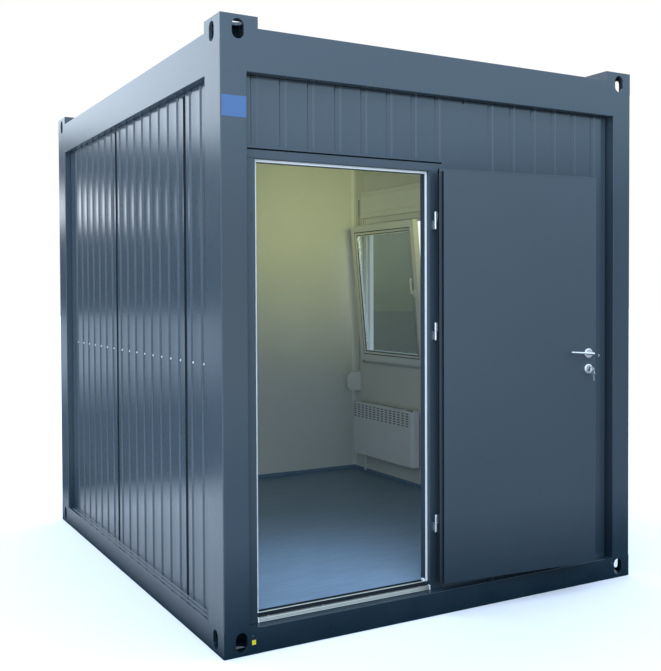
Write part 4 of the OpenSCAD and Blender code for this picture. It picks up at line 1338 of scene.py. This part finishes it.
def groove_middles(node, side):
    """Where the grooves of a panel are, along its wall, and how far in they lie."""
    measures = [measured(side, vert.co) for vert in frame["nodes"][node].data.vertices]
    face = min(inward for along, inward, up in measures)
    floors = sorted({round(inward, 1) for along, inward, up in measures})
    depth = next(inward for inward in floors if inward > face + 2)
    edges = sorted({round(along, 1) for along, inward, up in measures if abs(inward - depth) < 0.2})
    return [((a + b) / 2, depth) for a, b in zip(edges[::2], edges[1::2])]


wall_points = []
for side, panels in JOINED.items():
    outward = -SIDES[side][2]
    for panel in panels:
        for along, depth in groove_middles(panel, side) if panel != RIBLESS else ():
            wall_points.append((at(side, along, depth, SCREW_UP), outward))
wall_points.append((front(*LONE_SCREW), -Y))
screwed("wall_screws", wall_points, WALL_SCREW, "bright_metal")

# %% Screws of the threshold, the castings and the heater
SILL_SCREWS, SILL_IN, SILL_UP = (240, 520, 780, 1060), 58, 22
CASTING_SCREWS = ((137, 0, 83), (2304, 0, 85))
KNOB_IN, KNOB_UP, KNOB_STEP, KNOBS = 20, 150, 34, 6
sill_points = [(front(along, SILL_IN, sill_low[2] + SILL_UP), Z) for along in SILL_SCREWS]
screwed("threshold_screws", sill_points, (4.2, 0.4, 3.0, 0.8), "bright_metal")
casting_points = [(front(*spot), -Y) for spot in CASTING_SCREWS]
screwed("casting_screws", casting_points, (5.0, 0.8, 3.4, 1.6), "dark_parts_and_opening_shade")
knob_ups = [heater_low[2] + KNOB_UP + KNOB_STEP * k for k in range(KNOBS)]
knob_points = [(right(heater_low[0], case_back + KNOB_IN, up), -Y) for up in knob_ups]
screwed("heater_screws", knob_points, (3.6, 0.6, 2.8, 1.2), "white_plastic")
dial_points = [(right(heater_low[0] + 14, heater_high[1] - 8, heater_high[2] - 1), Z)]
screwed("heater_dial", dial_points, (8.0, 1.5, 6.5, 5.0), "dark_parts_and_opening_shade")

# %% Roof screws
roof_faces = BVHTree.FromBMesh(merged("roof_sheet"))
roof_low, roof_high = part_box("roof_sheet")
ROOF_STEP, ROOF_EDGE = 0.25, 0.05
roof_points = []
for x in (roof_low.x + ROOF_EDGE, roof_high.x - ROOF_EDGE):
    for k in range(int((roof_high.y - roof_low.y - 2 * ROOF_EDGE) / ROOF_STEP) + 1):
        above = Vector((x, roof_low.y + ROOF_EDGE + k * ROOF_STEP, roof_high.z + 1))
        place, facing, index, drop = roof_faces.ray_cast(above, -Z)
        if place:
            roof_points.append((place, facing))
screwed("roof_screws", roof_points, (7.0, 1.5, 4.5, 4.0), "bright_metal")

# %% Vent tree
def vent_tree():
    """Rows and columns of slots with round ends, each a closed little plate."""
    tree, given, out = new_tree("vents", {
        "Columns": "Int", "Rows": "Int", "Width": "Float", "Height": "Float", "Slot length": "Float",
        "Slot height": "Float", "Thickness": "Float", "Finish": "Material",
    })
    grid = geo(tree, "GeometryNodeMeshGrid", Size_X=given["Width"], Size_Y=given["Height"],
               Vertices_X=given["Columns"], Vertices_Y=given["Rows"])
    frame_curve = geo(tree, "GeometryNodeCurvePrimitiveQuadrilateral", Width=given["Slot length"],
                      Height=given["Slot height"])
    fillet = tree.nodes.new("GeometryNodeFilletCurve")
    fillet.mode = "POLY"
    wire(tree, fillet.inputs["Curve"], frame_curve.outputs[0])
    wire(tree, fillet.inputs["Radius"], calc(tree, "MULTIPLY", given["Slot height"], 0.48))
    wire(tree, fillet.inputs["Count"], 3)
    sheet = geo(tree, "GeometryNodeFillCurve", Curve=fillet.outputs[0])
    raised = geo(tree, "GeometryNodeExtrudeMesh", Mesh=sheet.outputs[0],
                 Offset_Scale=given["Thickness"], Individual=False)
    under = geo(tree, "GeometryNodeFlipFaces", Mesh=sheet.outputs[0])
    return scattered(tree, given, out, (raised.outputs["Mesh"], under.outputs[0]),
                     Points=grid.outputs["Mesh"])


vents = vent_tree()
print(vents.name, len(vents.nodes), "nodes")

# %% Heater vents
VENT_COLUMNS, VENT_ROWS, VENT_LENGTH, VENT_HEIGHT = 14, 6, 34, 8
VENT_MIDDLE = ((heater_low[0] + heater_high[0]) / 2 + 10, heater_high[2] - 66)
VENT_FIELD = (750, 90)


def vented(name, finish_of, lift, length, height, thickness, rise):
    """One layer of the vents, laid on the heater's face."""
    settings = {"Columns": VENT_COLUMNS, "Rows": VENT_ROWS, "Width": VENT_FIELD[0] * MM,
                "Height": VENT_FIELD[1] * MM, "Slot length": length * MM, "Slot height": height * MM,
                "Thickness": thickness * MM, "Finish": finishes[finish_of]}
    bm = grown(vents, settings, [(Vector(), Z)])
    for vert in bm.verts:
        along, up, out = vert.co / MM
        vert.co = right(VENT_MIDDLE[0] + along, heater_high[1] + lift + out, VENT_MIDDLE[1] + rise + up)
    return piece(name, bm, finish_of)


# The dark layer paints the shade inside the vent openings; the layer above it is the hoods.
vented("heater_vent_shade", "dark_parts_and_opening_shade", -0.4, VENT_LENGTH, VENT_HEIGHT, 0.8, 0)
vented("heater_hoods", "heater_paint", -0.4, VENT_LENGTH, 2.2, 2.6, VENT_HEIGHT / 2 + 1)

# %% [markdown]
# ## The studio
# To the camera the studio is white. To every other ray it is a soft sky over a darker floor, in
# zones round the compass: painted steel is judged by what it mirrors, and an even white room
# would leave it looking like paper. Three small lights brighten the room behind the door.

# %% Camera
PHOTO_W, PHOTO_H = 661, 671
FOCAL_PX = 948.24
CENTRE_PX = (354.89, 313.54)
SENSOR = 36.0
eye = Vector((-2.7654, -5.3112, 1.6013))
yaw, pitch, roll = 0.5249, 0.0235, -0.00367


def studio_camera():
    """A level camera at eye height, turned towards the door side."""
    ahead = Vector((math.sin(yaw) * math.cos(pitch), math.cos(yaw) * math.cos(pitch), -math.sin(pitch)))
    level = Vector((math.cos(yaw), -math.sin(yaw), 0.0))
    over = level.cross(ahead)
    across = level * math.cos(roll) + over * math.sin(roll)
    upward = over * math.cos(roll) - level * math.sin(roll)
    data = bpy.data.cameras.new("studio_camera")
    data.sensor_width = SENSOR
    data.lens = FOCAL_PX / max(PHOTO_W, PHOTO_H) * SENSOR
    data.shift_x = (PHOTO_W / 2 - CENTRE_PX[0]) / max(PHOTO_W, PHOTO_H)
    data.shift_y = (CENTRE_PX[1] - PHOTO_H / 2) / max(PHOTO_W, PHOTO_H)
    camera = linked("studio_camera", data)
    turn = Matrix((across, upward, -ahead)).transposed()
    camera.matrix_world = Matrix.Translation(eye) @ turn.to_4x4()
    bpy.context.scene.camera = camera
    return camera


camera = studio_camera()
print("lens", round(camera.data.lens, 2), "mm")

# %% Sky
SKY_STRENGTH, SKY_LEFT = 3.0, 0.45
HIGH = [(24, (0.57, 0.68, 0.84)), (40, (0.54, 0.65, 0.82)), (90, (0.42, 0.53, 0.74))]
BRIGHT = [(9.6, (0.60, 0.82, 1.00)), (15, (0.60, 0.80, 1.00))] + HIGH
SOFT = [(9.6, (0.66, 0.75, 0.84)), (15, (0.68, 0.79, 0.90))] + HIGH
SKIES = {
    "warm": [(0, (0.34, 0.30, 0.22)), (6.0, (0.30, 0.30, 0.27)), (8.0, (0.40, 0.52, 0.64))] + BRIGHT,
    "front": [(0, (0.09, 0.11, 0.13)), (6.0, (0.14, 0.18, 0.23)), (8.0, (0.38, 0.54, 0.70))] + BRIGHT,
    "far": [(0, (0.030, 0.040, 0.036)), (14, (0.06, 0.08, 0.075))] + HIGH,
    "dim": [(0, (0.020, 0.024, 0.028)), (8.2, (0.03, 0.04, 0.05))] + SOFT,
    "gap": [(0, (0.020, 0.024, 0.028)), (3.4, (0.03, 0.035, 0.04)), (4.4, (0.80, 0.86, 0.92)),
            (5.4, (0.80, 0.86, 0.92)), (6.4, (0.04, 0.05, 0.06)), (8.2, (0.03, 0.04, 0.05))] + SOFT,
    "open": [(0, (0.40, 0.45, 0.50)), (5, (0.60, 0.66, 0.72)), (15, (0.80, 0.88, 0.95))] + HIGH,
    "left": [(0, (0.22, 0.25, 0.28)), (5, (0.33, 0.37, 0.41)), (15, (0.46, 0.51, 0.56)),
             (24, (0.36, 0.43, 0.53)), (40, (0.36, 0.44, 0.56)), (90, (0.42, 0.53, 0.74))],
}
ZONES = [(-156, -148, "front"), (-120, -100, "open"), (-56, -46, "far"), (-20, -10, "dim"),
         (6, 8, "gap"), (14, 18, "dim"), (28, 42, "left"), (125, 150, "front"), (160, 178, "warm")]


def sky_ramp(tree, height, stops):
    """Colours by elevation, spaced by the root of the height so that low ones are finely set."""
    ramp = tree.nodes.new("ShaderNodeValToRGB")
    elements = ramp.color_ramp.elements
    while len(elements) < len(stops):
        elements.new(0.5)
    for element, (degrees, colour) in zip(elements, stops):
        element.position = math.sqrt(math.sin(math.radians(degrees)))
        element.color = rgb(*colour)
    tree.links.new(height, ramp.inputs["Fac"])
    return ramp.outputs["Color"]


def step_up(tree, value, low, high):
    """A soft step from 0 to 1 between two angles in degrees."""
    node = tree.nodes.new("ShaderNodeMapRange")
    node.interpolation_type = "SMOOTHSTEP"
    wire(tree, node.inputs["Value"], value)
    wire(tree, node.inputs["From Min"], math.radians(low))
    wire(tree, node.inputs["From Max"], math.radians(high))
    return node.outputs[0]


def camera_sees(tree, plain, mirrored, output):
    """Show one shader to the camera, and another to every other ray."""
    blend = tree.nodes.new("ShaderNodeMixShader")
    seen = tree.nodes.new("ShaderNodeLightPath").outputs["Is Camera Ray"]
    for socket, value in zip(blend.inputs, (seen, mirrored.outputs[0], plain.outputs[0])):
        wire(tree, socket, value)
    wire(tree, tree.nodes[output].inputs["Surface"], blend.outputs[0])


def studio_world():
    """White to the camera, and to all other rays a sky that changes with the compass."""
    world = bpy.data.worlds.new("studio")
    bpy.context.scene.world = world
    world.use_nodes = True
    tree = world.node_tree
    plain = tree.nodes["Background"]
    plain.inputs["Color"].default_value = rgb(1, 1, 1)
    x, y, z = split(tree, tree.nodes.new("ShaderNodeTexCoord").outputs["Generated"])
    height = calc(tree, "SQRT", calc(tree, "MAXIMUM", z, 0.0))
    turned = calc(tree, "ARCTAN2", calc(tree, "MULTIPLY", x, -1.0), y)
    ramps = {name: sky_ramp(tree, height, stops) for name, stops in SKIES.items()}
    colour = ramps["warm"]
    for low, high, name in ZONES:
        colour = mixed(tree, step_up(tree, turned, low, high), colour, ramps[name])
    sky = tree.nodes.new("ShaderNodeBackground")
    tree.links.new(colour, sky.inputs["Color"])
    leftward = calc(tree, "MULTIPLY_ADD", x, -SKY_LEFT * SKY_STRENGTH, SKY_STRENGTH)
    tree.links.new(leftward, sky.inputs["Strength"])
    camera_sees(tree, plain, sky, "World Output")


# %% Floor
PALE = rgb(0.93, 0.93, 0.93)
DARK = rgb(0.22, 0.21, 0.19)
SHADE = rgb(0.075, 0.08, 0.08)
HAZE = rgb(0.46, 0.46, 0.44)
BEYOND = rgb(0.036, 0.041, 0.034)
BRIGHT_FLOOR = rgb(0.92, 0.89, 0.84)
SUNLIT = rgb(0.62, 0.55, 0.36)
FLOOR_HALF = 60
BRIGHT_LEFT, BRIGHT_REAR = -1.22, 2.6
SUN_SLOPE, SUN_START = -0.55, -0.8


def fade(tree, value, start, slope):
    """Rises from 0 to 1 once a value has passed a start, by a slope for each metre."""
    rise = calc(tree, "MULTIPLY", calc(tree, "SUBTRACT", value, start), slope)
    rise.node.use_clamp = True
    return rise


def floor_tones(tree, x, y):
    """Zones of the floor that only reflections see: each zone is laid over the ones before it."""
    sun_line = calc(tree, "MULTIPLY_ADD", y, SUN_SLOPE, SUN_START)
    sun = calc(tree, "MULTIPLY", fade(tree, y, -5.5, -0.2), fade(tree, x, sun_line, -0.5))
    behind = calc(tree, "MULTIPLY", fade(tree, y, 1.6, 0.6), fade(tree, x, 0.0, 0.8))
    beside = calc(tree, "MULTIPLY", fade(tree, x, BRIGHT_LEFT, -6.0), fade(tree, y, BRIGHT_REAR, -1.0))
    tone = mixed(tree, fade(tree, y, -3.0, 1.25), DARK, SHADE)
    tone = mixed(tree, sun, tone, SUNLIT)
    tone = mixed(tree, fade(tree, y, 7.0, 0.12), tone, HAZE)
    tone = mixed(tree, behind, tone, BEYOND)
    return mixed(tree, beside, tone, BRIGHT_FLOOR)


def studio_floor():
    """A floor that is pale to the camera and dark, with brighter zones, to every other ray."""
    bm = bmesh.new()
    bmesh.ops.create_grid(bm, x_segments=1, y_segments=1, size=FLOOR_HALF)
    mesh = bpy.data.meshes.new("studio_floor")
    bm.to_mesh(mesh)
    bm.free()
    material, tree = new_material("studio_floor")
    place = split(tree, tree.nodes.new("ShaderNodeTexCoord").outputs["Object"])
    tones = floor_tones(tree, place["X"], place["Y"])
    pale, mirrored = (tree.nodes.new("ShaderNodeBsdfDiffuse") for shade in range(2))
    wire(tree, pale.inputs["Color"], PALE)
    wire(tree, mirrored.inputs["Color"], tones)
    camera_sees(tree, pale, mirrored, "Material Output")
    mesh.materials.append(material)
    floor = linked("studio_floor", mesh)


# %% Lights in the room
def room_light(name, place, size, energy, tint, towards, spread):
    """A soft panel of light that the camera doesn't see."""
    data = bpy.data.lights.new(name, "AREA")
    data.shape = "RECTANGLE"
    data.size, data.size_y = size
    data.energy = energy
    data.color = tint
    data.spread = math.radians(spread)
    light = linked(name, data)
    turn = (-towards).to_track_quat("Z", "Y").to_matrix()
    light.matrix_world = Matrix.Translation(place) @ turn.to_4x4()
    light.visible_camera = False


studio_world()
studio_floor()
room_light("ceiling_light", Vector((-0.3, 0.4, 2.6)), (0.8, 1.2), 1.0, (1.0, 0.99, 0.66), -Z, 150)
room_light("door_fill", Vector((0.1, -1.15, 2.15)), (1.2, 0.5), 2.35, (0.94, 1.0, 0.42),
           Vector((0.22, 1.0, 0.0)), 54)
room_light("sky_fill", Vector((-0.57, -1.25, 2.5)), (0.8, 0.2), 3.2, (0.64, 0.80, 1.0),
           Vector((0.0, 0.25, -2.1)), 55)
bpy.context.scene.view_settings.view_transform = "Standard"
print("studio ready")
